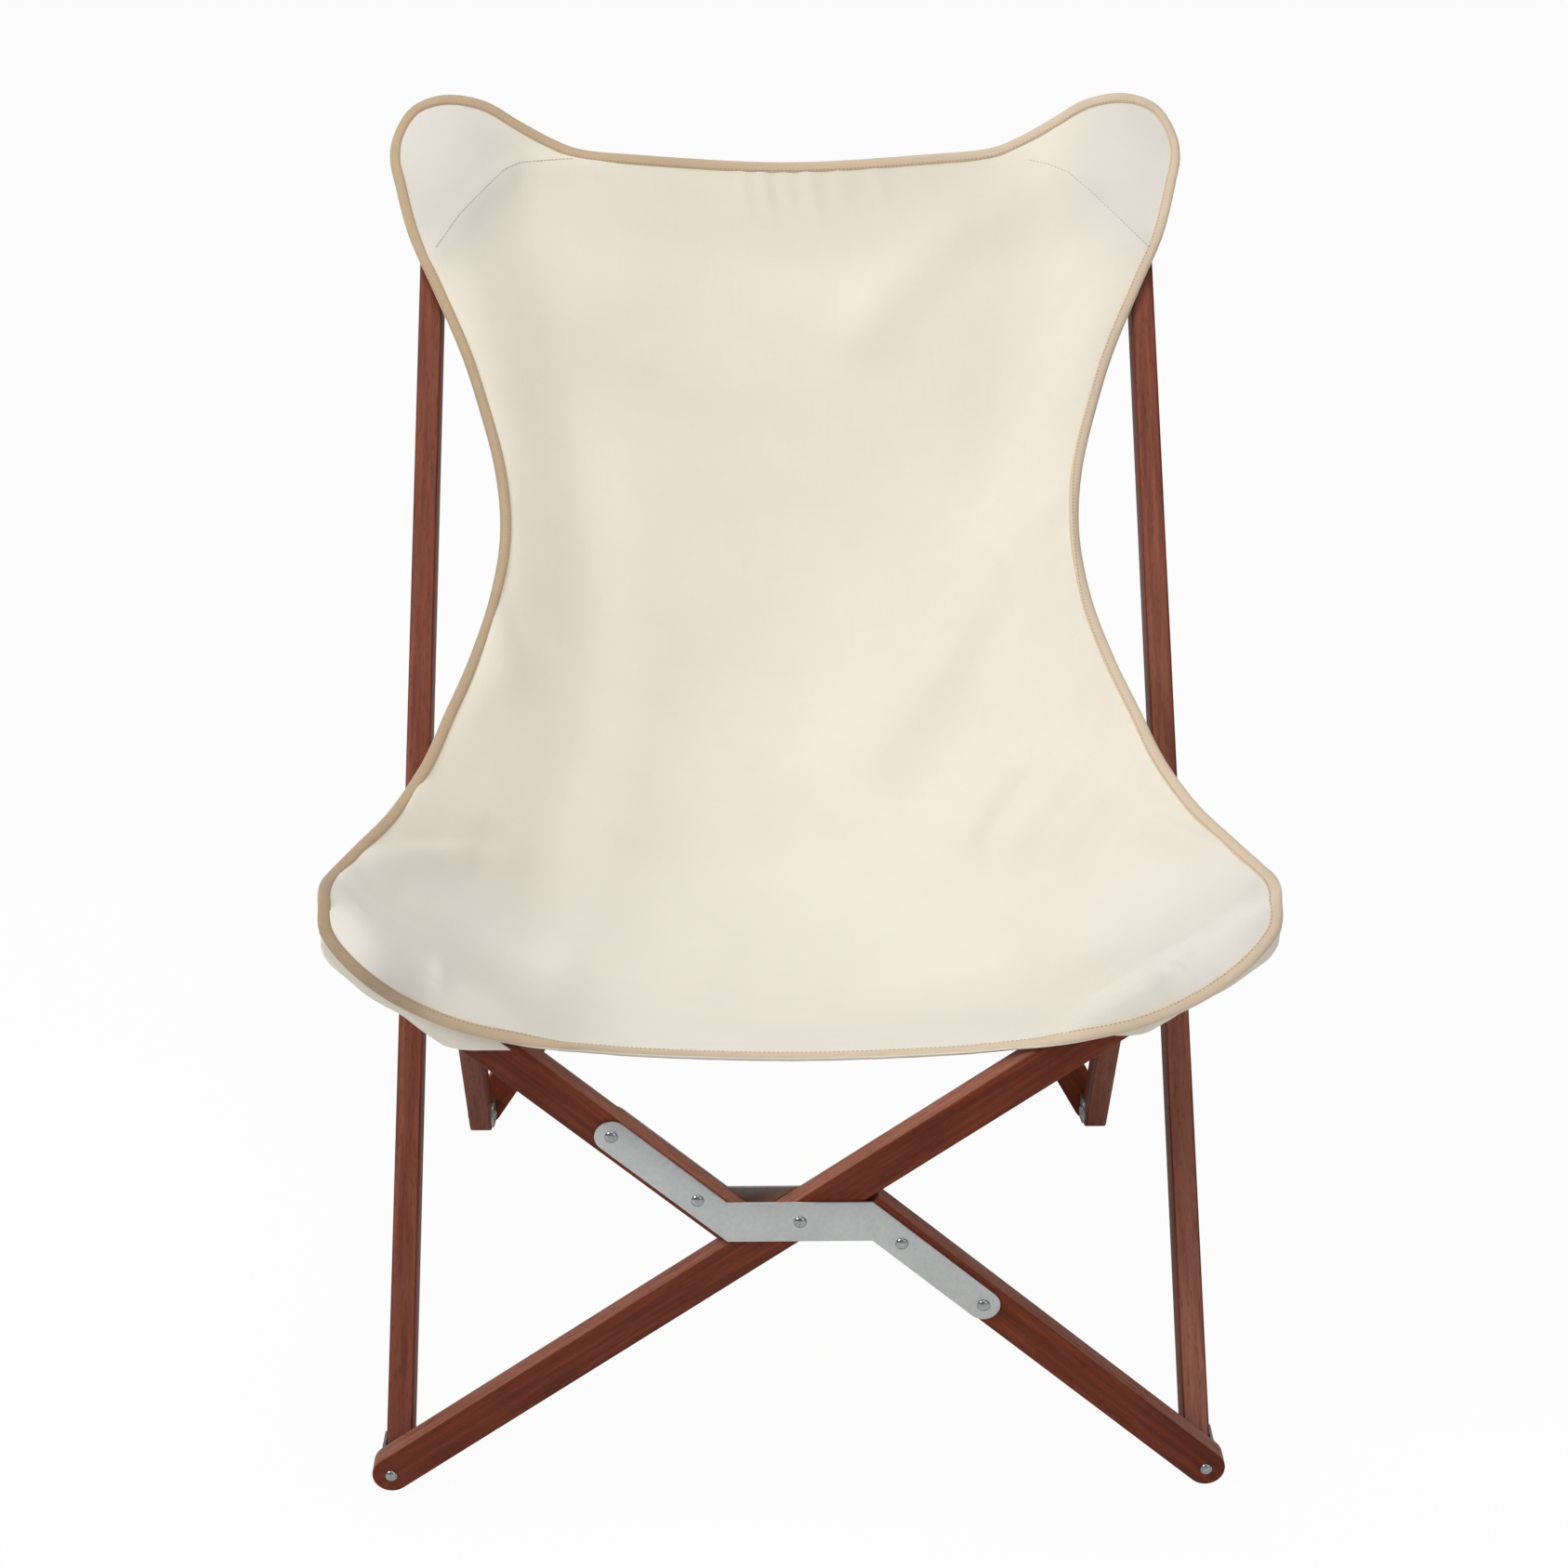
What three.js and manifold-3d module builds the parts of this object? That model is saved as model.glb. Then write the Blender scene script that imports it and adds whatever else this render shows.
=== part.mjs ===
import * as THREE from 'three';
import Module from 'manifold-3d';

const wasm = await Module();
wasm.setup();

// Sizes in millimetres. x is the sitter's left to right as seen from the front, y runs back, z up.
const STICK_WIDTH = 30;
const STICK_THICK = 20;
const EDGE_EASE = 1.0;
const HOLE_PLAY = 0.15;
const LAYER_GAP = 0.2;

// Side view: rivet axes of the front foot, back foot and top corner.
const SIDE_PLANE = 313;
const BACK_FOOT_Y = 523;
const TOP_Y = 723;
const TOP_Z = 881;
const FOLDED_PLANE = 42;
const STRUT_SPACING = 3;

// Front cross.
const FRONT_LEAN = 2;
const FRONT_RIVET_OUT = 4;
const FRONT_PIVOT_UP = 231;
const FRONT_TIP_OUT = 326;
const HALF_OFFSET = 38;
const HALF_START = 31;

// Back cross.
const BACK_RIVET_IN = 3;
const TOP_TIP_PAST = 14;

// Steel.
const PLATE_THICK = 2;
const PLATE_HALF_HEIGHT = 17;
const PLATE_RIVET_NEAR = 70;
const PLATE_RIVET_FAR = 154;
const PLATE_ARM_WIDTH = 25.5;
const PLATE_DROP = 2;
const BRACKET_THICK = 2;
const BRACKET_ROUND = 12;
const BRACKET_END_GAP = 0.3;
const BACK_PLAY = 2.2;
const RIVET_SHANK = 2.5;
const RIVET_HEAD = 5;
const RIVET_RISE = 2.2;

// Sling.
const CANVAS_THICK = 1.6;
const BINDING_WIDTH = 9;
const BINDING_THICK = 4.4;
const SEWN_GAP = 0.7;
const SEAT_SAG = 34;
const STICK_COVER = 2.4;
const SIDE_NEAR = 12;
const COVER_START = 165;
const COVER_FULL = 190;
const EDGE_BAND = 1.6 * BINDING_WIDTH;
const POCKET_WALL = 1.2;
const POCKET_ROOM = 0.5;
const POCKET_BAG = 7;
const POCKET_DRAW = 0.3;
const FRONT_POCKET_DEEP = 112;
const TOP_POCKET_DEEP = 108;

// Half of the top edge and of the front edge, from the middle out to the corner. Each point is
// x, then how far it lies behind and above the top corner's rivet, or the front stick's tip.
const TOP_EDGE = [
  [0, -4, -3], [126, 0, 2], [186, 8, 5], [208, 14, 13.5], [240, 18, 29.5], [270, 20, 46.5], [304, 21, 52],
  [331, 18, 42],
];
const FRONT_EDGE = [
  [0, 29.8, -117.6], [116, 13.8, -105.6], [158, -1.2, -92.6], [176, -14.2, -87.6], [205, -18.2, -82.6],
  [250, -20.2, -67.6], [294, -24.2, -42.6], [327, -24.2, -13.6], [344, -20.2, 8.4], [348, 5.8, 20.4],
];
// The side edge between those corners: x, the share of the way from the front tip to the top rivet,
// and the drop below the straight line between them.
const SIDE_EDGE = [
  [346, 1.014, -17.3], [349, 0.987, -10.5], [343, 0.955, -5.5], [330, 0.898, 11.7],
  [306, 0.844, 33.8], [281, 0.783, 60.3], [265.5, 0.729, 81.6], [251.5, 0.672, 99.7],
  [245.5, 0.622, 113.3], [245.5, 0.581, 122.2], [252.5, 0.518, 132.2], [267.5, 0.444, 137.5],
  [282, 0.377, 135.8], [296, 0.311, 126.5], [315.5, 0.241, 107.2], [340, 0.177, 83.2],
  [352, 0.117, 50.7], [354, 0.064, 10.2],
];

const WOOD = { color: 0x6b3020, roughness: 0.55, metalness: 0 };
const STEEL = { color: 0xb4b7ba, roughness: 0.35, metalness: 1 };
const CANVAS = { color: 0xe6e1d0, roughness: 0.9, metalness: 0 };
const BINDING = { color: 0xc2a37a, roughness: 0.85, metalness: 0 };

const HALF_WIDTH = STICK_WIDTH / 2;
const HALF_THICK = STICK_THICK / 2;
const HOLE = RIVET_SHANK + HOLE_PLAY;
const PLATE_AT = HALF_THICK + LAYER_GAP + PLATE_THICK / 2;
const LAYER = HALF_WIDTH + BRACKET_END_GAP + BRACKET_THICK + LAYER_GAP + HALF_THICK;
const BACK_LAYER = HALF_WIDTH + BRACKET_END_GAP + BRACKET_THICK + BACK_PLAY + HALF_THICK;
const STRUT_PLANE = SIDE_PLANE - STICK_THICK - STRUT_SPACING;
const FRONT_RIVET_X = SIDE_PLANE + FRONT_RIVET_OUT;
const BACK_RIVET_X = STRUT_PLANE - BACK_RIVET_IN;
const FOLD_TRAVEL = SIDE_PLANE - FOLDED_PLANE;

const vec = (x, y, z) => new THREE.Vector3(x, y, z);
const X_AXIS = vec(1, 0, 0);
const LEAN = THREE.MathUtils.degToRad(FRONT_LEAN);
const FRONT_UP = vec(0, -Math.sin(LEAN), Math.cos(LEAN));
const FRONT_BACK = vec(0, Math.cos(LEAN), Math.sin(LEAN));

// Height of a foot's rivet axis, so that the leaning cross stick's round end stands on the floor.
const footHeight = (up, layer) => HALF_WIDTH * up.z + (layer + HALF_THICK) * Math.abs(up.y);
const TOP = vec(0, TOP_Y, TOP_Z);
const FRONT_FOOT = vec(0, 0, footHeight(FRONT_UP, LAYER));
const BACK_FOOT = vec(0, BACK_FOOT_Y, HALF_WIDTH);
for (let i = 0; i < 20; i += 1) {
  const up = TOP.clone().sub(BACK_FOOT).normalize();
  BACK_FOOT.z = footHeight(up, BACK_LAYER);
}
const BACK_UP = TOP.clone().sub(BACK_FOOT).normalize();
const BACK_BACK = vec(0, BACK_UP.z, -BACK_UP.y);
const SIDE_UP = TOP.clone().sub(FRONT_FOOT).normalize();
const SIDE_OUT = vec(0, -SIDE_UP.z, SIDE_UP.y);
const BACK_RISE = TOP.distanceTo(BACK_FOOT);
const FRONT_SLOPE = FRONT_PIVOT_UP / FRONT_RIVET_X;
const FRONT_TIP_UP = FRONT_PIVOT_UP + FRONT_SLOPE * FRONT_TIP_OUT;
const FRONT_ORIGIN = FRONT_FOOT.clone().addScaledVector(FRONT_BACK, -LAYER);
const FRONT_TIP = FRONT_ORIGIN.clone().addScaledVector(FRONT_UP, FRONT_TIP_UP);

// The strut meets the side stick where strut plus upper side stick match the back cross when folded.
function strutHinge() {
  const spread = BACK_RIVET_X + FRONT_RIVET_X;
  const folded = spread - 2 * FOLD_TRAVEL;
  const reach = Math.sqrt(BACK_RISE ** 2 + spread ** 2 - folded ** 2);
  const length = TOP.distanceTo(FRONT_FOOT);
  let low = 0.3;
  let high = 0.6;
  for (let i = 0; i < 50; i += 1) {
    const mid = (low + high) / 2;
    const point = FRONT_FOOT.clone().addScaledVector(SIDE_UP, mid * length);
    if (point.distanceTo(BACK_FOOT) + (1 - mid) * length > reach) low = mid;
    else high = mid;
  }
  return FRONT_FOOT.clone().addScaledVector(SIDE_UP, low * length);
}
const STRUT_HINGE = strutHinge();

const model = new THREE.Group();
model.name = 'butterfly_sling_chair';

function add(name, geometry, look) {
  const mesh = new THREE.Mesh(geometry, new THREE.MeshStandardMaterial(look));
  mesh.name = name;
  model.add(mesh);
  return mesh;
}

function lay(geometry, origin, along, across) {
  const normal = along.clone().cross(across).normalize();
  geometry.applyMatrix4(new THREE.Matrix4().makeBasis(along, across, normal).setPosition(origin));
  return geometry;
}

// A flat piece of one thickness, centred on its plane, with eased edges.
function slab(shape, thick, ease = 0) {
  const geometry = new THREE.ExtrudeGeometry(shape, {
    depth: thick - 2 * ease,
    bevelEnabled: ease > 0,
    bevelThickness: ease,
    bevelSize: ease,
    bevelOffset: -ease,
    bevelSegments: 1,
    curveSegments: 7,
  });
  return geometry.translate(0, 0, -(thick - 2 * ease) / 2);
}

function drill(shape, x, y, radius = HOLE) {
  const hole = new THREE.Path();
  hole.absarc(x, y, radius, 0, Math.PI * 2, true);
  shape.holes.push(hole);
}

// A stick from start to end along its own axis; each end is round or square.
function stickShape(start, end, roundStart, roundEnd, holes, offset = 0) {
  const shape = new THREE.Shape();
  const low = offset - HALF_WIDTH;
  const high = offset + HALF_WIDTH;
  if (roundStart) shape.absarc(start, offset, HALF_WIDTH, Math.PI / 2, Math.PI * 1.5, false);
  else {
    shape.moveTo(start, high);
    shape.lineTo(start, low);
  }
  if (roundEnd) shape.absarc(end, offset, HALF_WIDTH, -Math.PI / 2, Math.PI / 2, false);
  else {
    shape.lineTo(end, low);
    shape.lineTo(end, high);
  }
  shape.closePath();
  for (const at of holes) drill(shape, at[0], at[1]);
  return shape;
}

// Dome head on each side of a stack, shank between; the stack is centred on the origin along local y.
function rivetGeometry(stack, headOne = true, headTwo = true) {
  const half = stack / 2 + LAYER_GAP / 2;
  const dome = [[0.72, 0.78], [0.96, 0.3]];
  const points = [];
  const head = (side) => [[RIVET_SHANK, side * half], [RIVET_HEAD, side * half],
    ...dome.map(([r, h]) => [RIVET_HEAD * r, side * (half + RIVET_RISE * h)]).reverse()];
  const top = half + RIVET_RISE;
  points.push([0, headOne ? -top : -half]);
  if (headOne) points.push(...head(-1).reverse());
  else points.push([RIVET_SHANK, -half]);
  if (headTwo) points.push(...head(1));
  else points.push([RIVET_SHANK, half]);
  points.push([0, headTwo ? top : half]);
  return new THREE.LatheGeometry(points.map(([r, h]) => new THREE.Vector2(r, h)), 12);
}

function addRivet(name, centre, axis, stack, headOne = true, headTwo = true) {
  const geometry = rivetGeometry(stack, headOne, headTwo);
  geometry.applyQuaternion(new THREE.Quaternion().setFromUnitVectors(vec(0, 1, 0), axis));
  geometry.translate(centre.x, centre.y, centre.z);
  add(name, geometry, STEEL);
}

function toManifold(geometry) {
  const position = geometry.getAttribute('position');
  const index = new Map();
  const points = [];
  const order = [];
  for (let i = 0; i < position.count; i += 1) {
    const p = [position.getX(i), position.getY(i), position.getZ(i)];
    const key = p.map((v) => v.toFixed(4)).join();
    if (!index.has(key)) {
      index.set(key, points.length / 3);
      points.push(...p);
    }
    order.push(index.get(key));
  }
  const corners = geometry.index ? Array.from(geometry.index.array, (i) => order[i]) : order;
  const triangles = [];
  for (let i = 0; i < corners.length; i += 3) {
    const [a, b, c] = corners.slice(i, i + 3);
    if (a !== b && b !== c && a !== c) triangles.push(a, b, c);
  }
  return new wasm.Manifold(new wasm.Mesh({
    numProp: 3, vertProperties: new Float32Array(points), triVerts: new Uint32Array(triangles),
  }));
}

function fromManifold(solid) {
  const mesh = solid.getMesh();
  const geometry = new THREE.BufferGeometry();
  geometry.setAttribute('position', new THREE.BufferAttribute(new Float32Array(mesh.vertProperties), 3));
  geometry.setIndex(new THREE.BufferAttribute(new Uint32Array(mesh.triVerts), 1));
  const flat = geometry.toNonIndexed();
  flat.computeVertexNormals();
  return flat;
}

// One crossing pair of sticks in a plane. foot and tip give the rivet and end positions in that plane.
function addCross(name, plane) {
  const { origin, up, back, pivotUp, footX, tipX, tipUp, past, tipRivet } = plane;
  const pivot = origin.clone().addScaledVector(up, pivotUp);

  const footReach = Math.hypot(footX, pivotUp);
  const tipReach = Math.hypot(tipX, tipUp - pivotUp);
  const along = X_AXIS.clone().multiplyScalar(footX / footReach).addScaledVector(up, pivotUp / footReach);
  const across = up.clone().multiplyScalar(footX / footReach).addScaledVector(X_AXIS, -pivotUp / footReach);
  const straightHoles = [[-footReach, 0], [0, 0]];
  if (tipRivet) straightHoles.push([tipReach, 0]);
  const end = tipReach + past;
  const straight = slab(stickShape(-footReach, end, true, true, straightHoles), STICK_THICK, EDGE_EASE);
  add(`${name}_straight_stick`, lay(straight, pivot, along, across), WOOD);

  // Each half of the split stick passes the pivot at HALF_OFFSET, one above it and one below.
  const halves = [];
  for (const half of ['lower', 'upper']) {
    const reach = half === 'lower' ? footReach : tipReach;
    const run = half === 'lower' ? footX : tipX;
    const rise = half === 'lower' ? pivotUp : tipUp - pivotUp;
    const side = half === 'lower' ? 1 : -1;
    const slope = Math.atan2(rise, run) + Math.asin(HALF_OFFSET / reach);
    const level = side * Math.cos(slope);
    const steep = side * Math.sin(slope);
    const dir = X_AXIS.clone().multiplyScalar(level).addScaledVector(up, -steep);
    const high = X_AXIS.clone().multiplyScalar(steep).addScaledVector(up, level);
    const far = Math.sqrt(reach ** 2 - HALF_OFFSET ** 2);
    const low = HALF_OFFSET - PLATE_DROP;
    const holes = [[PLATE_RIVET_NEAR, low], [PLATE_RIVET_FAR, low]];
    if (half === 'lower' || tipRivet) holes.push([far, HALF_OFFSET]);
    const stop = half === 'lower' ? far : far + past;
    const shape = stickShape(HALF_START, stop, false, true, holes, HALF_OFFSET);
    add(`${name}_split_stick_${half}`, lay(slab(shape, STICK_THICK, EDGE_EASE), pivot, dir, high), WOOD);
    const tip = pivot.clone().addScaledVector(dir, stop).addScaledVector(high, HALF_OFFSET);
    halves.push({ slope, dir, high, low, tip });
  }
  addPlates(name, pivot, up, back, halves);
  const [, upper] = halves;
  return {
    right: { tip: pivot.clone().addScaledVector(along, end), along, across, back },
    left: { tip: upper.tip, along: upper.dir, across: upper.high.clone().negate(), back },
  };
}

// The Z-shaped plates in front of and behind the crossing, with their five rivets.
function addPlates(name, pivot, up, back, halves) {
  const half = PLATE_ARM_WIDTH / 2;
  const local = (arm, a, p) => {
    const d = arm.dir.clone().multiplyScalar(a).addScaledVector(arm.high, p);
    return [d.dot(X_AXIS), d.dot(up)];
  };
  const bend = (arm, edge, level) => {
    const fall = level * PLATE_HALF_HEIGHT * Math.cos(arm.slope);
    return (edge - fall) / Math.sin(arm.slope);
  };
  const outline = [];
  halves.forEach((arm, i) => {
    const sign = i === 0 ? 1 : -1;
    outline.push([sign * bend(arm, arm.low + half, 1), sign * PLATE_HALF_HEIGHT]);
    for (let k = 0; k <= 8; k += 1) {
      const turn = Math.PI / 2 - (k * Math.PI) / 8;
      outline.push(local(arm, PLATE_RIVET_FAR + half * Math.cos(turn), arm.low + half * Math.sin(turn)));
    }
    outline.push([sign * bend(arm, arm.low - half, -1), -sign * PLATE_HALF_HEIGHT]);
  });
  outline.reverse();
  for (const face of ['front', 'rear']) {
    const shape = new THREE.Shape(outline.map(([x, y]) => new THREE.Vector2(x, y)));
    drill(shape, 0, 0);
    for (const arm of halves) {
      for (const a of [PLATE_RIVET_NEAR, PLATE_RIVET_FAR]) drill(shape, ...local(arm, a, arm.low));
    }
    const origin = pivot.clone().addScaledVector(back, face === 'front' ? -PLATE_AT : PLATE_AT);
    add(`${name}_plate_${face}`, lay(slab(shape, PLATE_THICK), origin, X_AXIS.clone(), up.clone()), STEEL);
  }
  const stack = STICK_THICK + 2 * (LAYER_GAP + PLATE_THICK);
  addRivet(`${name}_pivot_rivet`, pivot, back, stack);
  halves.forEach((arm, i) => {
    const word = i === 0 ? 'lower' : 'upper';
    [['near', PLATE_RIVET_NEAR], ['far', PLATE_RIVET_FAR]].forEach(([place, a]) => {
      const centre = pivot.clone().addScaledVector(arm.dir, a).addScaledVector(arm.high, arm.low);
      addRivet(`${name}_${word}_${place}_rivet`, centre, back, stack);
    });
  });
}

// An angle bracket: one leg flat on a side stick or strut, the other facing the cross stick.
function addBracket(name, hub, faceX, legOut, face, rivetX, up) {
  const corner = HALF_WIDTH + BRACKET_END_GAP + BRACKET_THICK;
  const legX = faceX + legOut * (BRACKET_THICK / 2 + LAYER_GAP);
  const legOuter = legX + (legOut * BRACKET_THICK) / 2;
  const side = new THREE.Shape();
  side.moveTo(corner, BRACKET_ROUND);
  side.lineTo(0, BRACKET_ROUND);
  side.absarc(0, 0, BRACKET_ROUND, Math.PI / 2, Math.PI * 1.5, false);
  side.lineTo(corner, -BRACKET_ROUND);
  side.closePath();
  drill(side, 0, 0);
  const sideLeg = lay(slab(side, BRACKET_THICK), vec(legX, hub.y, hub.z), face.clone(), up.clone());

  const reach = (rivetX - legOuter) * -legOut;
  const front = new THREE.Shape();
  front.moveTo(0, -BRACKET_ROUND);
  front.lineTo(reach, -BRACKET_ROUND);
  front.absarc(reach, 0, BRACKET_ROUND, -Math.PI / 2, Math.PI / 2, false);
  front.lineTo(0, BRACKET_ROUND);
  front.closePath();
  drill(front, reach, 0);
  const origin = vec(legOuter, hub.y, hub.z).addScaledVector(face, corner - BRACKET_THICK / 2);
  const frontLeg = lay(slab(front, BRACKET_THICK), origin, vec(-legOut, 0, 0), up.clone());
  add(name, fromManifold(wasm.Manifold.union(toManifold(sideLeg), toManifold(frontLeg))), STEEL);
}

function addSides() {
  const length = TOP.distanceTo(FRONT_FOOT);
  const hinge = STRUT_HINGE.distanceTo(FRONT_FOOT);
  const strut = STRUT_HINGE.clone().sub(BACK_FOOT);
  const strutLength = strut.length();
  const strutUp = strut.clone().normalize();
  const turned = (v) => vec(0, v.z, -v.y);
  const stack = STICK_THICK + LAYER_GAP + BRACKET_THICK;
  for (const [word, sign] of [['left', -1], ['right', 1]]) {
    const sidePoint = (p, x) => vec(sign * x, p.y, p.z);
    const longShape = stickShape(0, length, true, true, [[0, 0], [hinge, 0], [length, 0]]);
    const long = slab(longShape, STICK_THICK, EDGE_EASE);
    const sideFoot = sidePoint(FRONT_FOOT, SIDE_PLANE);
    add(`side_stick_${word}`, lay(long, sideFoot, SIDE_UP, turned(SIDE_UP)), WOOD);
    const shortShape = stickShape(0, strutLength, true, true, [[0, 0], [strutLength, 0]]);
    const short = slab(shortShape, STICK_THICK, EDGE_EASE);
    const strutFoot = sidePoint(BACK_FOOT, STRUT_PLANE);
    add(`back_strut_${word}`, lay(short, strutFoot, strutUp, turned(strutUp)), WOOD);
    const hingeStack = 2 * STICK_THICK + STRUT_SPACING;
    const between = (SIDE_PLANE + STRUT_PLANE) / 2;
    addRivet(`strut_hinge_rivet_${word}`, sidePoint(STRUT_HINGE, between), X_AXIS, hingeStack);

    const outer = sign * (SIDE_PLANE + HALF_THICK);
    const inner = sign * (STRUT_PLANE - HALF_THICK);
    const sideShift = (LAYER_GAP + BRACKET_THICK) / 2;
    const forward = FRONT_BACK.clone().negate();
    const frontX = sign * FRONT_RIVET_X;
    const backX = sign * BACK_RIVET_X;
    addBracket(`front_foot_bracket_${word}`, FRONT_FOOT, outer, sign, forward, frontX, FRONT_UP);
    addRivet(`front_foot_side_rivet_${word}`, sidePoint(FRONT_FOOT, SIDE_PLANE + sideShift), X_AXIS, stack);
    const frontMid = sidePoint(FRONT_FOOT, FRONT_RIVET_X)
      .addScaledVector(FRONT_BACK, -(LAYER - sideShift));
    addRivet(`front_foot_cross_rivet_${word}`, frontMid, FRONT_BACK, stack, true, false);

    addBracket(`back_foot_bracket_${word}`, BACK_FOOT, inner, -sign, BACK_BACK, backX, BACK_UP);
    addRivet(`back_foot_side_rivet_${word}`, sidePoint(BACK_FOOT, STRUT_PLANE - sideShift), X_AXIS, stack);
    const backMid = sidePoint(BACK_FOOT, BACK_RIVET_X).addScaledVector(BACK_BACK, BACK_LAYER);
    addRivet(`back_foot_cross_rivet_${word}`, backMid, BACK_BACK, STICK_THICK, false, true);

    addBracket(`top_bracket_${word}`, TOP, outer, sign, BACK_BACK, frontX, BACK_UP);
    addRivet(`top_side_rivet_${word}`, sidePoint(TOP, SIDE_PLANE + sideShift), X_AXIS, stack);
    const reach = word === 'left' ? BACK_PLAY + BRACKET_THICK : 0;
    const topMid = sidePoint(TOP, FRONT_RIVET_X).addScaledVector(BACK_BACK, BACK_LAYER - reach / 2);
    addRivet(`top_cross_rivet_${word}`, topMid, BACK_BACK, STICK_THICK + reach, false, true);
  }
}

// Rows of points from the top edge to the front edge, columns from left to right.
const SLING_COLUMNS = 24;
const SLING_ROWS = 22;

function edgeCurve(points) {
  return new THREE.CatmullRomCurve3(points);
}

function slingSurface() {
  const mirror = (points) => points.map((p) => vec(-p.x, p.y, p.z));
  const from = (base) => ([x, back, above]) => vec(x, base.y + back, base.z + above);
  const topHalf = TOP_EDGE.map(from(TOP));
  const frontHalf = FRONT_EDGE.map(from(FRONT_TIP));
  const line = TOP.clone().sub(FRONT_TIP.clone().setX(0));
  const below = vec(0, line.z, -line.y).normalize();
  const sideHalf = SIDE_EDGE.map(([x, share, drop]) => FRONT_TIP.clone().addScaledVector(line, share)
    .addScaledVector(below, drop).setX(x));
  const across = (half) => edgeCurve([...mirror(half.slice(1)).reverse(), ...half]);
  const top = across(topHalf);
  const front = across(frontHalf);
  const side = [topHalf.at(-1), ...sideHalf, frontHalf.at(-1)];
  const right = edgeCurve(side);
  const left = edgeCurve(mirror(side));
  const corner = (u, v) => right.getPointAt(v > 0.5 ? 1 : 0).multiply(vec(u > 0.5 ? 1 : -1, 1, 1));
  const ease = (t, much) => (1 - much) * t + much * (0.5 - 0.5 * Math.cos(Math.PI * t));
  const rows = [];
  for (let j = 0; j <= SLING_ROWS; j += 1) {
    const v = ease(j / SLING_ROWS, 0.3);
    const row = [];
    for (let i = 0; i <= SLING_COLUMNS; i += 1) {
      const u = ease(i / SLING_COLUMNS, 0.2);
      const point = top.getPointAt(u).multiplyScalar(1 - v).addScaledVector(front.getPointAt(u), v)
        .addScaledVector(left.getPointAt(v), 1 - u).addScaledVector(right.getPointAt(v), u)
        .addScaledVector(corner(0, 0), -(1 - u) * (1 - v)).addScaledVector(corner(1, 0), -u * (1 - v))
        .addScaledVector(corner(0, 1), -(1 - u) * v).addScaledVector(corner(1, 1), -u * v);
      const middle = 1 - (2 * u - 1) ** 2;
      point.z -= SEAT_SAG * Math.sin(Math.PI * v) * middle;
      row.push(point);
    }
    rows.push(row);
  }
  return rows;
}

// Lifts the cloth off the sticks: over the front sticks' top edges and in front of the side sticks.
function clearSticks(rows) {
  const over = HALF_WIDTH / Math.cos(Math.atan(FRONT_SLOPE)) + STICK_COVER;
  const inFront = HALF_THICK + POCKET_ROOM + POCKET_WALL + CANVAS_THICK;
  const last = rows.length - 1;
  const reach = FRONT_TIP_OUT + HALF_WIDTH / 2;
  [[1, -inFront], [2, inFront]].forEach(([step, off]) => {
    rows[last - step].slice(1, -1).forEach((point) => {
      point.x = THREE.MathUtils.clamp(point.x, -reach, reach);
      const x = Math.abs(point.x);
      const height = FRONT_PIVOT_UP + FRONT_SLOPE * Math.min(x, FRONT_TIP_OUT) + over;
      const goal = FRONT_ORIGIN.clone().addScaledVector(FRONT_UP, height).addScaledVector(FRONT_BACK, off);
      const side = THREE.MathUtils.smoothstep(x, COVER_START, COVER_FULL);
      point.y += side * (goal.y - point.y);
      point.z += side * (goal.z - point.z);
      if (x > FRONT_RIVET_X / 3) point.z = Math.max(point.z, goal.z);
    });
  });
  const margin = HALF_WIDTH + STICK_COVER + CANVAS_THICK;
  const length = TOP.distanceTo(FRONT_FOOT);
  for (const point of rows.flat()) {
    const along = point.clone().sub(FRONT_FOOT).dot(SIDE_UP);
    const axis = FRONT_FOOT.clone().addScaledVector(SIDE_UP, Math.min(along, length));
    const away = vec(0, point.y - axis.y, point.z - axis.z);
    const near = Math.abs(Math.abs(point.x) - SIDE_PLANE) < HALF_THICK + SIDE_NEAR;
    const out = along < length ? SIDE_OUT : away.clone().normalize();
    const short = margin - away.dot(out);
    if (near && short > 0 && point.z > STRUT_HINGE.z) point.addScaledVector(out, short);
  }
}

// The way out of the cloth's upper face at each point.
function slingNormals(rows) {
  const { clamp } = THREE.MathUtils;
  const at = (j, i) => rows[clamp(j, 0, SLING_ROWS)][clamp(i, 0, SLING_COLUMNS)];
  return rows.map((row, j) => row.map((point, i) => {
    const along = at(j, i + 1).clone().sub(at(j, i - 1));
    const down = at(j + 1, i).clone().sub(at(j - 1, i));
    return down.cross(along).normalize();
  }));
}

function edgeLoop() {
  const loop = [];
  for (let i = 0; i < SLING_COLUMNS; i += 1) loop.push([0, i]);
  for (let j = 0; j < SLING_ROWS; j += 1) loop.push([j, SLING_COLUMNS]);
  for (let i = SLING_COLUMNS; i > 0; i -= 1) loop.push([SLING_ROWS, i]);
  for (let j = SLING_ROWS; j > 0; j -= 1) loop.push([j, 0]);
  return loop;
}

function meshFrom(points, triangles) {
  const geometry = new THREE.BufferGeometry();
  const numbers = points.flatMap((p) => p.toArray());
  geometry.setAttribute('position', new THREE.Float32BufferAttribute(numbers, 3));
  geometry.setIndex(triangles);
  const flat = geometry.toNonIndexed();
  flat.computeVertexNormals();
  return flat;
}

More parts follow.
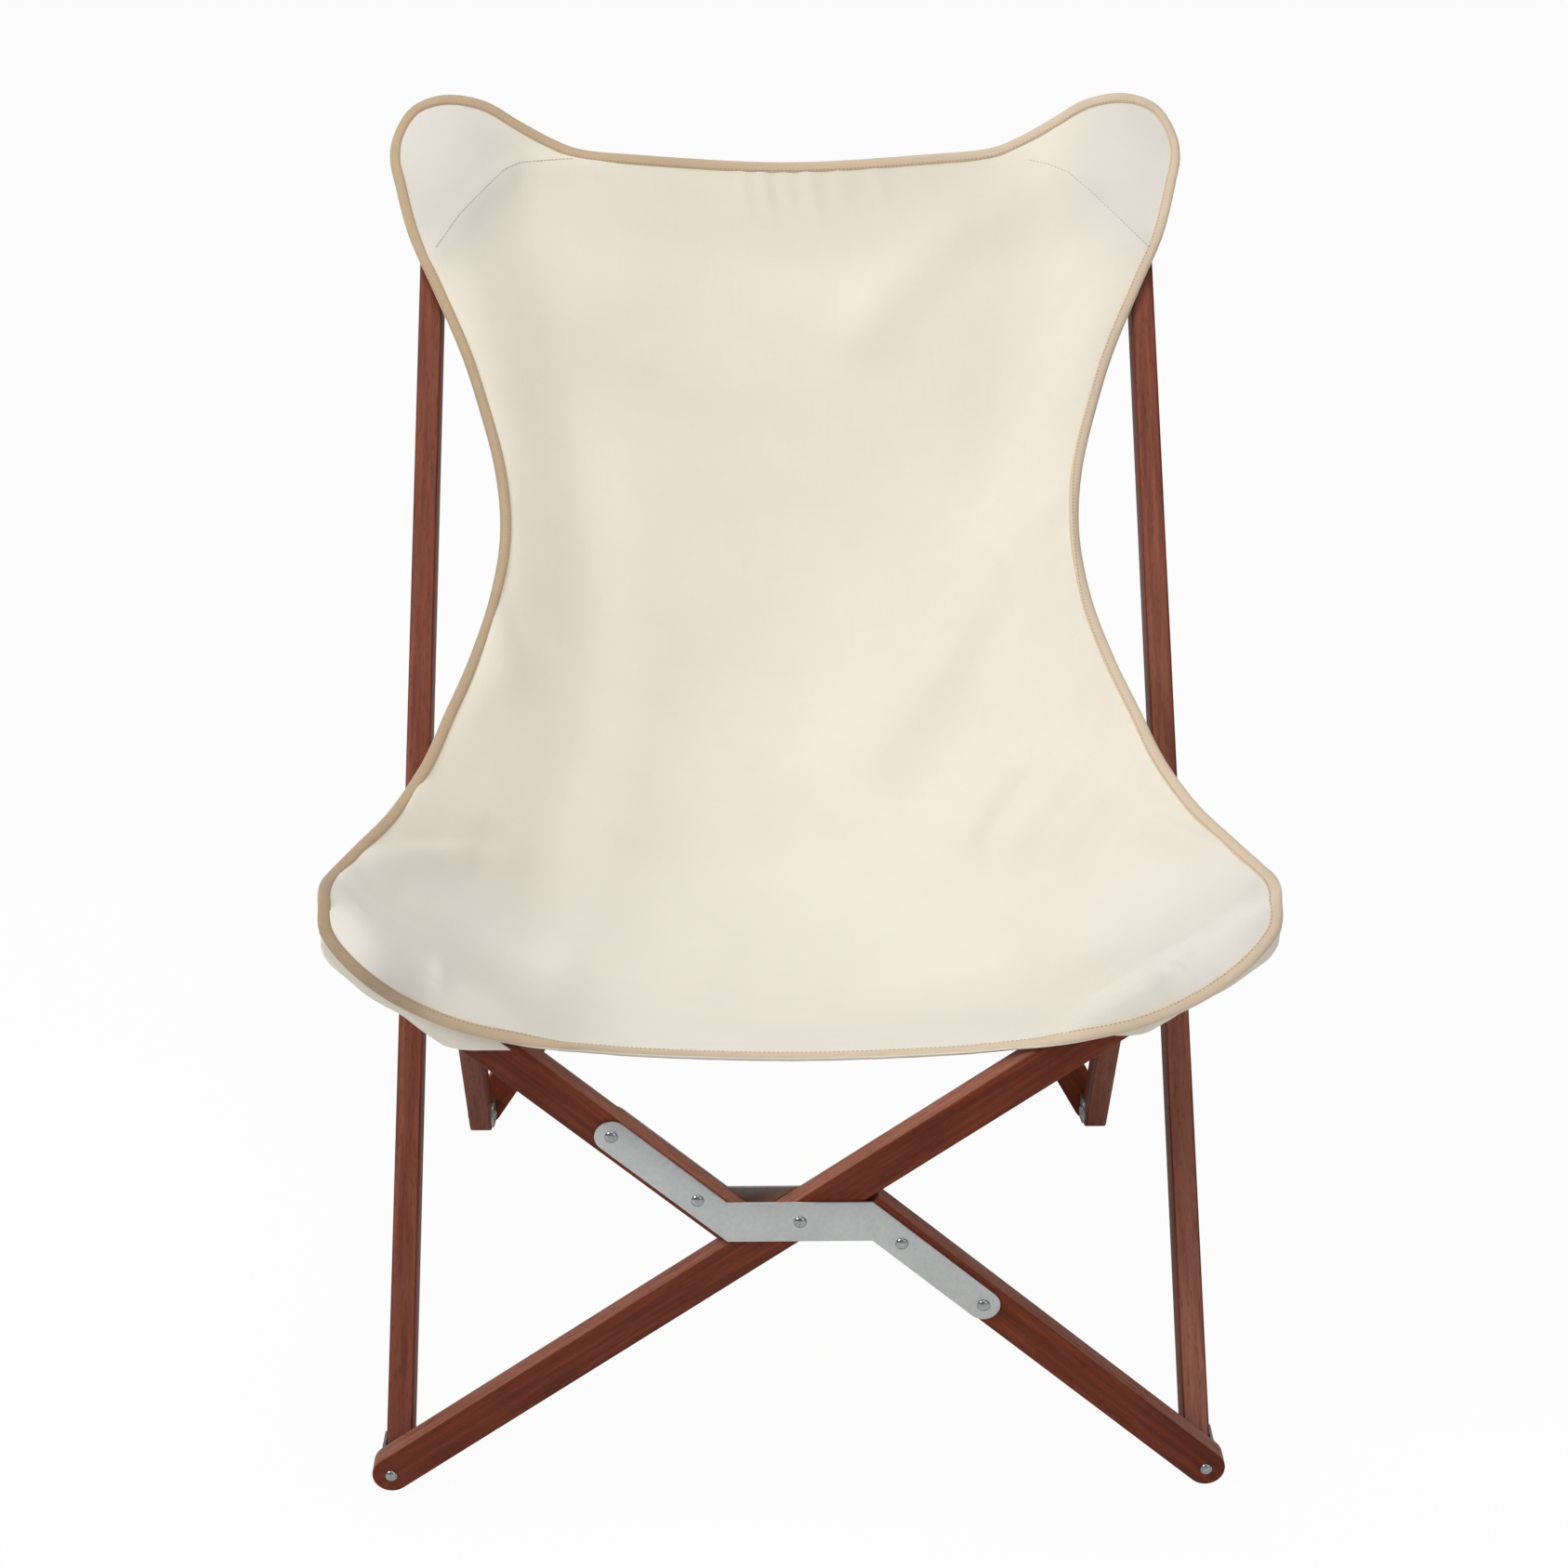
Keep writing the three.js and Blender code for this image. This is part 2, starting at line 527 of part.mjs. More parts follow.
function addSling() {
  const rows = slingSurface();
  clearSticks(rows);
  const normals = slingNormals(rows);
  const loop = edgeLoop();
  const inward = loop.map(([j, i], k) => {
    const before = loop[(k + loop.length - 1) % loop.length];
    const after = loop[(k + 1) % loop.length];
    const along = rows[after[0]][after[1]].clone().sub(rows[before[0]][before[1]]).normalize();
    return along.cross(normals[j][i]).normalize();
  });

  // The points next to the edge keep well inside the binding.
  const { clamp } = THREE.MathUtils;
  loop.forEach(([j, i], k) => {
    if (j >= SLING_ROWS - 3) return;
    const inside = rows[clamp(j, 1, SLING_ROWS - 1)][clamp(i, 1, SLING_COLUMNS - 1)];
    const depth = inside.clone().sub(rows[j][i]).dot(inward[k]);
    if (depth < EDGE_BAND) inside.addScaledVector(inward[k], EDGE_BAND - depth);
  });
  const edge = loop.map(([j, i]) => rows[j][i].clone());
  loop.forEach(([j, i], k) => rows[j][i].addScaledVector(inward[k], BINDING_WIDTH + SEWN_GAP));
  const count = (SLING_ROWS + 1) * (SLING_COLUMNS + 1);
  const index = (j, i) => j * (SLING_COLUMNS + 1) + i;
  const face = (side) => rows.flatMap((row, j) => row.map((p, i) => p.clone()
    .addScaledVector(normals[j][i], (side * CANVAS_THICK) / 2)));
  const triangles = [];
  const quad = (a, b, c, d) => triangles.push(a, b, c, a, c, d);
  for (let j = 0; j < SLING_ROWS; j += 1) {
    for (let i = 0; i < SLING_COLUMNS; i += 1) {
      const corners = [index(j, i), index(j + 1, i), index(j + 1, i + 1), index(j, i + 1)];
      quad(...corners);
      quad(...corners.map((c) => c + count).reverse());
    }
  }
  loop.forEach(([j, i], k) => {
    const next = loop[(k + 1) % loop.length];
    quad(index(j, i), index(...next), index(...next) + count, index(j, i) + count);
  });
  add('sling_canvas', meshFrom([...face(1), ...face(-1)], triangles), CANVAS);

  // Binding: a flat oval section carried round the edge.
  const sides = 8;
  const ring = edge.flatMap((point, k) => {
    const [j, i] = loop[k];
    return Array.from({ length: sides }, (_, q) => {
      const turn = (2 * Math.PI * q) / sides;
      return point.clone().addScaledVector(inward[k], (BINDING_WIDTH / 2) * (1 + Math.cos(turn)))
        .addScaledVector(normals[j][i], (BINDING_THICK / 2) * Math.sin(turn));
    });
  });
  const hoop = [];
  for (let k = 0; k < edge.length; k += 1) {
    const next = ((k + 1) % edge.length) * sides;
    for (let q = 0; q < sides; q += 1) {
      const r = (q + 1) % sides;
      const [a, b, c, d] = [k * sides + q, next + q, next + r, k * sides + r];
      hoop.push(a, b, c, a, c, d);
    }
  }
  add('sling_edge_binding', meshFrom(ring, hoop), BINDING);
}

// Cloth sleeve round a stick end, from its mouth up to the tip; open on the side that the canvas closes.
// It hangs lower than the stick by bag, and its mouth slants by slant along for each step across.
function pocketGeometry({ tip, along, across, back }, { deep, rim, bag, slant }, from, to) {
  const outer = HALF_WIDTH + POCKET_ROOM + POCKET_WALL + bag / 2;
  const inner = HALF_WIDTH + POCKET_ROOM + bag / 2;
  const middle = -bag / 2;
  const end = -bag * POCKET_DRAW;
  const high = Math.min(rim, middle + outer);
  const mouth = (level) => -deep - slant * (level - middle + outer);
  const shape = new THREE.Shape();
  shape.moveTo(mouth(high), high);
  shape.lineTo(mouth(middle - outer), middle - outer);
  shape.absarc(end, middle, outer, -Math.PI / 2, Math.asin((high - middle) / outer), false);
  shape.closePath();
  const hollow = new THREE.Shape();
  const start = mouth(high) - outer;
  hollow.moveTo(start, middle + inner);
  hollow.lineTo(start, middle - inner);
  hollow.absarc(end, middle, inner, -Math.PI / 2, Math.PI / 2, false);
  hollow.closePath();
  const body = slab(shape, to.outer - from.outer).translate(0, 0, (to.outer + from.outer) / 2);
  const room = slab(hollow, to.inner - from.inner).translate(0, 0, (to.inner + from.inner) / 2);
  const solid = wasm.Manifold.difference(toManifold(body), toManifold(room));
  const geometry = fromManifold(solid);
  const flip = along.clone().cross(across).dot(back) < 0 ? -1 : 1;
  const basis = new THREE.Matrix4().makeBasis(along, across, back);
  geometry.applyMatrix4(basis.setPosition(tip));
  if (flip > 0) return geometry;
  return mirrored(geometry);
}

// Puts a mirrored geometry's faces the right way round.
function mirrored(geometry) {
  const position = geometry.getAttribute('position');
  for (let i = 0; i < position.count; i += 3) {
    const a = vec(0, 0, 0).fromBufferAttribute(position, i + 1);
    const b = vec(0, 0, 0).fromBufferAttribute(position, i + 2);
    position.setXYZ(i + 1, b.x, b.y, b.z);
    position.setXYZ(i + 2, a.x, a.y, a.z);
  }
  geometry.computeVertexNormals();
  return geometry;
}

function addPockets(front, top) {
  const room = HALF_THICK + POCKET_ROOM;
  const wall = room + POCKET_WALL;
  const slant = 1 / FRONT_SLOPE;
  const frontCut = { deep: FRONT_POCKET_DEEP, rim: HALF_WIDTH * 0.3, bag: POCKET_BAG, slant };
  const topCut = { deep: TOP_POCKET_DEEP, rim: HALF_WIDTH * 2, bag: 0, slant: 0 };
  for (const word of ['left', 'right']) {
    const fore = { outer: -wall, inner: -room };
    const rear = { outer: wall, inner: room };
    add(`front_pocket_${word}`, pocketGeometry(front[word], frontCut, fore, rear), CANVAS);
    const open = { outer: -HALF_THICK * 0.8, inner: -wall * 2 };
    const closed = { outer: wall + RIVET_RISE, inner: room + RIVET_RISE };
    add(`top_pocket_${word}`, pocketGeometry(top[word], topCut, open, closed), CANVAS);
  }
}

const frontTips = addCross('front_cross', {
  origin: FRONT_ORIGIN,
  up: FRONT_UP,
  back: FRONT_BACK,
  pivotUp: FRONT_PIVOT_UP,
  footX: FRONT_RIVET_X,
  tipX: FRONT_TIP_OUT,
  tipUp: FRONT_TIP_UP,
  past: 0,
  tipRivet: false,
});
const topTips = addCross('back_cross', {
  origin: BACK_FOOT.clone().addScaledVector(BACK_BACK, BACK_LAYER),
  up: BACK_UP,
  back: BACK_BACK,
  pivotUp: (BACK_RISE * BACK_RIVET_X) / (BACK_RIVET_X + FRONT_RIVET_X),
  footX: BACK_RIVET_X,
  tipX: FRONT_RIVET_X,
  tipUp: BACK_RISE,
  past: TOP_TIP_PAST,
  tipRivet: true,
});
addSides();
addSling();
addPockets(frontTips, topTips);

// The frame stands on the floor with the middle of its overall box over the origin.
const box = new THREE.Box3().setFromObject(model);
model.position.set(0, -(box.min.y + box.max.y) / 2, -box.min.z);

export default model;
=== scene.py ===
"""Butterfly sling chair: riveted hardwood sticks, zinc plates and brackets, and a bound canvas sling."""
import math

import bpy
import numpy as np
from mathutils import Matrix, Vector


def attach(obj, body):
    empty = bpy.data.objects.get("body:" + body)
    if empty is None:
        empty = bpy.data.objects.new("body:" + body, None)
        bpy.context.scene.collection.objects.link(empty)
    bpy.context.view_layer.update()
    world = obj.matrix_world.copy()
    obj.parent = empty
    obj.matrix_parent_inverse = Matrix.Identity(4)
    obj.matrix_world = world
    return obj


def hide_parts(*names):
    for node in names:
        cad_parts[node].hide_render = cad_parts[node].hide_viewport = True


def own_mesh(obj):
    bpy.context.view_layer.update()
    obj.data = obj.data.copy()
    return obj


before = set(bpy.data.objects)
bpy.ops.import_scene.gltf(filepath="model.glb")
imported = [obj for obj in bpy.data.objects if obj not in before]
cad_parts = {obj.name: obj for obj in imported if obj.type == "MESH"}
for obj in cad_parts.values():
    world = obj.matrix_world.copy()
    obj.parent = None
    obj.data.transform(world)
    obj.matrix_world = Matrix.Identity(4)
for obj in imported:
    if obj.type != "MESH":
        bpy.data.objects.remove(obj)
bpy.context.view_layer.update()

MM = 0.001
# The chair's middle lies this far behind the front feet's rivet axis, and the floor this far up.
SHIFT_Y = -351.18
SHIFT_Z = -0.05

# Sizes in millimetres, as in the frame.
STICK_WIDTH, STICK_THICK = 30.0, 20.0
HALF_WIDTH, HALF_THICK = STICK_WIDTH / 2, STICK_THICK / 2
EDGE_ROUND = 1.7
SIDE_PLANE, STRUT_PLANE = 313.0, 290.0
FRONT_RIVET_X, BACK_RIVET_X, FRONT_TIP_X = 317.0, 287.0, 326.0
FRONT_PIVOT_UP, TOP_TIP_PAST = 231.0, 14.0
HALF_OFFSET, HALF_START = 38.0, 31.0
LAYER, BACK_LAYER = 27.5, 29.5
PLATE_THICK, PLATE_HALF_HEIGHT, PLATE_GAP = 2.0, 17.0, 0.2
PLATE_RIVETS = (70.0, 154.0)
PLATE_ARM, PLATE_DROP, PLATE_EASE = 25.5, 2.0, 0.45
PLATE_FACE = HALF_THICK + PLATE_GAP + PLATE_THICK
BRACKET_LEG = 2.2
RIVET_HEAD, RIVET_RISE = 5.0, 2.6
FRONT_LEAN = math.radians(2.0)
CANVAS_THICK, POCKET_WALL, TAPE_WIDTH = 1.6, 1.1, 9.4
STITCH_HALF, STITCH_THREAD = 1.2, 0.35
SEAM_STITCH_HALF, SEAM_STITCH_THREAD = 1.4, 0.45

# Photograph: width and focal length in pixels, the camera's sensor in millimetres, the eye point in
# millimetres from the front feet's axis, and the eye's turns in radians.
PHOTO_SIZE = 1687
PHOTO_FOCAL = 3300.0
SENSOR_WIDTH = 36.0
EYE = (-40.1, -2029.2, 1433.8)
EYE_DOWN, EYE_TURN = 0.3981, -0.0141


def vec(*v):
    return np.array(v, float)


def unit(v):
    """The same direction, or each row's direction, with length one."""
    return v / np.linalg.norm(v, axis=-1, keepdims=True)


def run_lengths(points):
    """How far along a path each of its points lies."""
    return np.concatenate([[0], np.cumsum(np.linalg.norm(np.diff(points, axis=0), axis=1))])


def at_lengths(rows, lengths, stops):
    """Rows given at some lengths along a path, read off at other lengths."""
    return np.stack([np.interp(stops, lengths, column) for column in rows.T], -1)


def to_metres(points):
    """Frame millimetres to the chair's own coordinates in metres."""
    return (np.asarray(points, float) + vec(0, SHIFT_Y, SHIFT_Z)) * MM


X_AXIS = vec(1, 0, 0)
FRONT_UP = vec(0, -math.sin(FRONT_LEAN), math.cos(FRONT_LEAN))
FRONT_BACK = vec(0, math.cos(FRONT_LEAN), math.sin(FRONT_LEAN))
FRONT_FOOT = vec(0, 0, 16.3)
BACK_FOOT = vec(0, 523, 23.58)
TOP = vec(0, 723, 881)
BACK_UP = unit(TOP - BACK_FOOT)
BACK_BACK = vec(0, BACK_UP[2], -BACK_UP[1])
SIDE_UP = unit(TOP - FRONT_FOOT)
SIDE_OUT = vec(0, -SIDE_UP[2], SIDE_UP[1])
STRUT_HINGE = vec(0, 309.27, 386.18)
BACK_RISE = float(np.linalg.norm(TOP - BACK_FOOT))


def view_pixels(points):
    """Where frame points in millimetres fall in the photograph."""
    d = np.asarray(points, float) - vec(*EYE)
    c, s = math.cos(EYE_TURN), math.sin(EYE_TURN)
    right, ahead = d[..., 0] * c + d[..., 1] * s, d[..., 1] * c - d[..., 0] * s
    c, s = math.cos(EYE_DOWN), math.sin(EYE_DOWN)
    depth = ahead * c - d[..., 2] * s
    below = -d[..., 2] * c - ahead * s
    return np.stack([right, below], -1) / depth[..., None] * PHOTO_FOCAL + PHOTO_SIZE / 2


# Node helpers.
def link(tree, a, b):
    tree.links.new(a, b)


def new_group(kind, name, inputs, outputs):
    """A node group with its sockets: a label and a kind each, and a value or None for an input."""
    tree = bpy.data.node_groups.new(name, kind)
    for label, socket_type, value in inputs:
        socket = tree.interface.new_socket(label, in_out="INPUT", socket_type=socket_type)
        if value is not None:
            socket.default_value = value
    for label, socket_type in outputs:
        tree.interface.new_socket(label, in_out="OUTPUT", socket_type=socket_type)
    return tree, tree.nodes.new("NodeGroupInput"), tree.nodes.new("NodeGroupOutput")


def math_node(tree, operation, a, b=None):
    node = tree.nodes.new("ShaderNodeMath")
    node.operation = operation
    for slot, value in ((0, a), (1, b)):
        if value is None:
            continue
        if isinstance(value, (int, float)):
            node.inputs[slot].default_value = value
        else:
            link(tree, value, node.inputs[slot])
    return node.outputs[0]


def scaled(tree, value, times, plus):
    return math_node(tree, "ADD", math_node(tree, "MULTIPLY", value, times), plus)


def noise(tree, vector, scale, detail=3.0, rough=0.55):
    node = tree.nodes.new("ShaderNodeTexNoise")
    node.inputs["Scale"].default_value = scale
    node.inputs["Detail"].default_value = detail
    node.inputs["Roughness"].default_value = rough
    link(tree, vector, node.inputs["Vector"])
    return node.outputs["Fac"]


def ramp(tree, value, stops):
    node = tree.nodes.new("ShaderNodeValToRGB")
    bar = node.color_ramp.elements
    while len(bar) < len(stops):
        bar.new(0.5)
    for element, (place, colour) in zip(bar, stops):
        element.position = place
        element.color = (*colour, 1) if isinstance(colour, tuple) else (colour, colour, colour, 1)
    link(tree, value, node.inputs["Fac"])
    return node.outputs["Color"]


def mix_colour(tree, factor, a, b, blend="MIX"):
    node = tree.nodes.new("ShaderNodeMix")
    node.data_type = "RGBA"
    node.blend_type = blend
    for slot, value in ((0, factor), (6, a), (7, b)):
        if isinstance(value, (int, float)):
            node.inputs[slot].default_value = value
        elif isinstance(value, tuple):
            node.inputs[slot].default_value = (*value, 1)
        else:
            link(tree, value, node.inputs[slot])
    return node.outputs[2]


def stretched(tree, vector, scale):
    node = tree.nodes.new("ShaderNodeMapping")
    node.inputs["Scale"].default_value = scale
    link(tree, vector, node.inputs["Vector"])
    return node.outputs["Vector"]


def srgb(r, g, b):
    """A screen colour from 0 to 255 as Blender's linear one."""
    return tuple(((c / 255 + 0.055) / 1.055) ** 2.4 if c > 10 else c / 255 / 12.92 for c in (r, g, b))


def object_place(tree):
    return tree.nodes.new("ShaderNodeTexCoord").outputs["Object"]


def new_material(name, roughness, **sockets):
    material = bpy.data.materials.new(name)
    material.use_nodes = True
    shader = material.node_tree.nodes["Principled BSDF"]
    shader.inputs["Roughness"].default_value = roughness
    for label, value in sockets.items():
        shader.inputs[label.replace("_", " ")].default_value = value
    return material, material.node_tree, shader


def bump(tree, shader, height, strength, distance):
    node = tree.nodes.new("ShaderNodeBump")
    node.inputs["Strength"].default_value = strength
    node.inputs["Distance"].default_value = distance
    link(tree, height, node.inputs["Height"])
    link(tree, node.outputs["Normal"], shader.inputs["Normal"])


# Finishes.
def weave_group():
    """Plain weave: thread height, and a soft uneven tint, on a vector measured in metres."""
    tree, start, end = new_group(
        "ShaderNodeTree", "plain_weave",
        [("Vector", "NodeSocketVector", None), ("Threads per metre", "NodeSocketFloat", 1500.0)],
        [("Height", "NodeSocketFloat"), ("Tint", "NodeSocketFloat")])
    source = start.outputs["Vector"]
    split = tree.nodes.new("ShaderNodeSeparateXYZ")
    link(tree, source, split.inputs[0])
    turns = math_node(tree, "MULTIPLY", start.outputs["Threads per metre"], math.pi)
    across = math_node(tree, "MULTIPLY", split.outputs[0], turns)
    along = math_node(tree, "MULTIPLY", split.outputs[1], turns)
    over = math_node(tree, "MULTIPLY", math_node(tree, "COSINE", across), math_node(tree, "COSINE", along))
    over = scaled(tree, over, 0.5, 0.5)
    under = math_node(tree, "SUBTRACT", 1.0, over)
    threads = [math_node(tree, "MULTIPLY", math_node(tree, "ABSOLUTE", math_node(tree, "SINE", way)), share)
               for way, share in ((across, over), (along, under))]
    # Slubs in the yarn: so many to a metre across a thread, and fewer along it.
    slub_across, slub_along, slub_height = 260.0, 30.0, 0.8
    slubs = [noise(tree, stretched(tree, source, scale), 1.0, 2.0)
             for scale in ((slub_across, slub_along, 1.0), (slub_along, slub_across, 1.0))]
    tint = math_node(tree, "MULTIPLY", math_node(tree, "ADD", *slubs), 0.5)
    height = math_node(tree, "ADD", math_node(tree, "ADD", *threads),
                       math_node(tree, "MULTIPLY", tint, slub_height))
    link(tree, height, end.inputs["Height"])
    link(tree, tint, end.inputs["Tint"])
    return tree


def grain_group():
    """Hardwood: figure, dark pores and a slow cloud, on a vector that runs along the stick in X."""
    tree, start, end = new_group(
        "ShaderNodeTree", "hardwood_grain",
        [("Vector", "NodeSocketVector", None)],
        [("Figure", "NodeSocketFloat"), ("Pores", "NodeSocketFloat"), ("Cloud", "NodeSocketFloat")])
    source = start.outputs["Vector"]
    # How often each pattern changes in a metre: along the stick, then across it both ways.
    figure_scale, pore_scale, cloud_scale = (11.0, 190.0, 190.0), (120.0, 1300.0, 1300.0), (6.0, 22.0, 22.0)
    pore_start, pore_full = 0.57, 0.7
    figure = noise(tree, stretched(tree, source, figure_scale), 1.0, 5.0, 0.62)
    fine = noise(tree, stretched(tree, source, pore_scale), 1.0, 2.0, 0.5)
    cloud = noise(tree, stretched(tree, source, cloud_scale), 1.0, 2.0)
    pores = tree.nodes.new("ShaderNodeMapRange")
    pores.inputs["From Min"].default_value = pore_start
    pores.inputs["From Max"].default_value = pore_full
    link(tree, fine, pores.inputs["Value"])
    link(tree, figure, end.inputs["Figure"])
    link(tree, pores.outputs["Result"], end.inputs["Pores"])
    link(tree, cloud, end.inputs["Cloud"])
    return tree


WEAVE = weave_group()
GRAIN = grain_group()


def attribute(tree, name):
    node = tree.nodes.new("ShaderNodeAttribute")
    node.attribute_name = name
    return node


def place_group(tree, group, vector):
    node = tree.nodes.new("ShaderNodeGroup")
    node.node_tree = group
    link(tree, vector, node.inputs["Vector"])
    return node


def wood_material():
    material, tree, shader = new_material("oiled_hardwood", 0.42, Specular_IOR_Level=0.16)
    face_tones = [(0.3, srgb(91, 38, 22)), (0.5, srgb(111, 49, 28)), (0.7, srgb(131, 62, 37))]
    # Painted sheen: paler tones for the narrow faces, and how much of them shows.
    sheen_tones = [(0.3, srgb(140, 84, 67)), (0.7, srgb(172, 115, 96))]
    sheen_share, pore_tone, pore_share = 0.78, srgb(62, 27, 18), 0.42
    grain = place_group(tree, GRAIN, attribute(tree, "stick_space").outputs["Vector"])
    figure, pores = grain.outputs["Figure"], grain.outputs["Pores"]
    cloud = ramp(tree, grain.outputs["Cloud"], [(0.3, 0.9), (0.7, 1.08)])
    base = mix_colour(tree, 1.0, ramp(tree, figure, face_tones), cloud, "MULTIPLY")
    # Painted sheen: the narrow faces are paler where light falls on them.
    edge = math_node(tree, "MULTIPLY", attribute(tree, "narrow_face_sheen").outputs["Fac"], sheen_share)
    base = mix_colour(tree, edge, base, ramp(tree, figure, sheen_tones))
    colour = mix_colour(tree, math_node(tree, "MULTIPLY", pores, pore_share), base, pore_tone)
    link(tree, colour, shader.inputs["Base Color"])
    rough = math_node(tree, "ADD", scaled(tree, figure, 0.16, 0.36), math_node(tree, "MULTIPLY", pores, 0.15))
    link(tree, rough, shader.inputs["Roughness"])
    height = math_node(tree, "SUBTRACT", math_node(tree, "MULTIPLY", figure, 0.3), pores)
    bump(tree, shader, height, 0.35, 0.00025)
    return material


def zinc_material():
    material, tree, shader = new_material("zinc_plated_steel", 0.36, Metallic=1.0)
    dull, bright = srgb(186, 189, 188), srgb(204, 206, 205)
    place = object_place(tree)
    blotch = noise(tree, place, 34.0, 4.0, 0.6)
    fine = noise(tree, place, 900.0, 2.0)
    spangle = tree.nodes.new("ShaderNodeTexVoronoi")
    spangle.inputs["Scale"].default_value = 260.0
    link(tree, place, spangle.inputs["Vector"])
    mixed = math_node(tree, "ADD", math_node(tree, "MULTIPLY", blotch, 0.7),
                      math_node(tree, "MULTIPLY", spangle.outputs["Distance"], 0.3))
    link(tree, ramp(tree, mixed, [(0.25, dull), (0.75, bright)]), shader.inputs["Base Color"])
    link(tree, scaled(tree, mixed, 0.22, 0.26), shader.inputs["Roughness"])
    bump(tree, shader, math_node(tree, "ADD", fine, mixed), 0.12, 0.0002)
    return material


def rivet_material():
    material, tree, shader = new_material("bright_rivet_steel", 0.2, Metallic=1.0)
    dull, bright = srgb(150, 152, 154), srgb(182, 184, 186)
    worn = noise(tree, object_place(tree), 420.0, 3.0)
    link(tree, ramp(tree, worn, [(0.3, dull), (0.7, bright)]), shader.inputs["Base Color"])
    link(tree, scaled(tree, worn, 0.16, 0.12), shader.inputs["Roughness"])
    return material


def cloth_material(name, light, deep, pale, threads, roughness, depth):
    """A woven cloth on its own UV map in metres.

    The attribute pale turns it to its pale colour, and the attribute dimmed takes light away.
    """
    material, tree, shader = new_material(name, roughness, Sheen_Weight=0.12, Sheen_Roughness=0.6)
    shader.inputs["Specular IOR Level"].default_value = 0.25
    place = tree.nodes.new("ShaderNodeUVMap")
    place.uv_map = "cloth"
    weave = place_group(tree, WEAVE, place.outputs["UV"])
    weave.inputs["Threads per metre"].default_value = threads
    cloud = noise(tree, place.outputs["UV"], 7.0, 3.0)
    base = mix_colour(tree, weave.outputs["Tint"], light, deep)
    base = mix_colour(tree, attribute(tree, "pale").outputs["Fac"], base, pale)
    base = mix_colour(tree, 1.0, base, ramp(tree, cloud, [(0.3, 0.965), (0.7, 1.02)]), "MULTIPLY")
    kept = math_node(tree, "SUBTRACT", 1.0, attribute(tree, "dimmed").outputs["Fac"])
    base = mix_colour(tree, 1.0, base, kept, "MULTIPLY")
    # Painted shade: the cloth is darker where the weave lies low, between the threads.
    weave_gap_shade = ramp(tree, weave.outputs["Height"], [(0.15, 0.9), (0.75, 1.0)])
    link(tree, mix_colour(tree, 1.0, base, weave_gap_shade, "MULTIPLY"), shader.inputs["Base Color"])
    link(tree, scaled(tree, weave.outputs["Tint"], 0.12, roughness - 0.06), shader.inputs["Roughness"])
    bump(tree, shader, weave.outputs["Height"], 0.5, depth)
    return material


def thread_material(name, deep, light):
    material, tree, shader = new_material(name, 0.7, Sheen_Weight=0.1)
    twist = noise(tree, object_place(tree), 2600.0, 2.0)
    link(tree, ramp(tree, twist, [(0.3, deep), (0.7, light)]), shader.inputs["Base Color"])
    bump(tree, shader, twist, 0.3, 0.0001)
    return material


WOOD = wood_material()
RIVET = rivet_material()
ZINC = zinc_material()
CANVAS = cloth_material("cream_canvas", light=srgb(247, 240, 224), deep=srgb(241, 233, 213),
                        pale=srgb(241, 236, 226), threads=1450.0, roughness=0.86, depth=0.0002)
TAPE = cloth_material("tan_binding_tape", light=srgb(206, 182, 151), deep=srgb(187, 161, 129),
                      pale=srgb(226, 205, 179), threads=2100.0, roughness=0.8, depth=0.00016)
THREAD = thread_material("tan_sewing_thread", deep=srgb(150, 118, 82), light=srgb(196, 164, 124))
SEAM_THREAD = thread_material("grey_sewing_thread", deep=srgb(184, 177, 163), light=srgb(206, 199, 185))


# Meshes.
def make_piece(name, points, faces, material):
    """A smooth mesh piece from frame millimetres."""
    mesh = bpy.data.meshes.new(name)
    mesh.from_pydata(to_metres(points).tolist(), [], faces)
    mesh.materials.append(material)
    mesh.polygons.foreach_set("use_smooth", [True] * len(mesh.polygons))
    piece = bpy.data.objects.new(name, mesh)
    bpy.context.collection.objects.link(piece)
    return piece


def store_vectors(mesh, name, values):
    layer = mesh.attributes.new(name, "FLOAT_VECTOR", "POINT")
    layer.data.foreach_set("vector", np.asarray(values, float).ravel())


def store_floats(mesh, name, values):
    layer = mesh.attributes.new(name, "FLOAT", "POINT")
    layer.data.foreach_set("value", np.asarray(values, float).ravel())


def store_uv(mesh, values):
    """One UV in metres for each vertex."""
    layer = mesh.uv_layers.new(name="cloth")
    corners = np.empty(len(mesh.loops), int)
    mesh.loops.foreach_get("vertex_index", corners)
    layer.data.foreach_set("uv", np.asarray(values, float)[corners].ravel())


def sharpen(mesh, degrees):
    mesh.set_sharp_from_angle(angle=math.radians(degrees))


def stick_outline(start, end, round_start, inset):
    """Stick outline in its own plane, drawn in by inset: a round far end, and a round or square near one."""
    half = HALF_WIDTH - inset
    turns = np.linspace(0, math.pi, 16)
    points = [(end + half * math.sin(t), -half * math.cos(t)) for t in turns]
    if round_start:
        return points + [(start - half * math.sin(t), half * math.cos(t)) for t in turns]
    return points + [(start + inset, half), (start + inset, -half)]


def slab_mesh(outline, thick, ease, steps=4):
    """Rings of a flat piece with rounded edges: outline(inset) gives each ring."""
    rings = []
    for k in range(steps):
        turn = math.pi / 2 * k / (steps - 1)
        rings.append((ease * (1 - math.sin(turn)), -thick / 2 + ease * (1 - math.cos(turn))))
    rings += [(inset, -level) for inset, level in reversed(rings)]
    points, faces = [], []
    count = len(outline(0.0))
    for inset, level in rings:
        points += [(a, w, level) for a, w in outline(inset)]
    for r in range(len(rings) - 1):
        for i in range(count):
            j = (i + 1) % count
            faces.append((r * count + i, r * count + j, (r + 1) * count + j, (r + 1) * count + i))
    faces.append(tuple(reversed(range(count))))
    faces.append(tuple(range((len(rings) - 1) * count, len(rings) * count)))
    return np.array(points), faces


# Filled as the frame is built: each stick's own lines, and each body's rivet heads.
sticks = {}
rivet_heads = {}
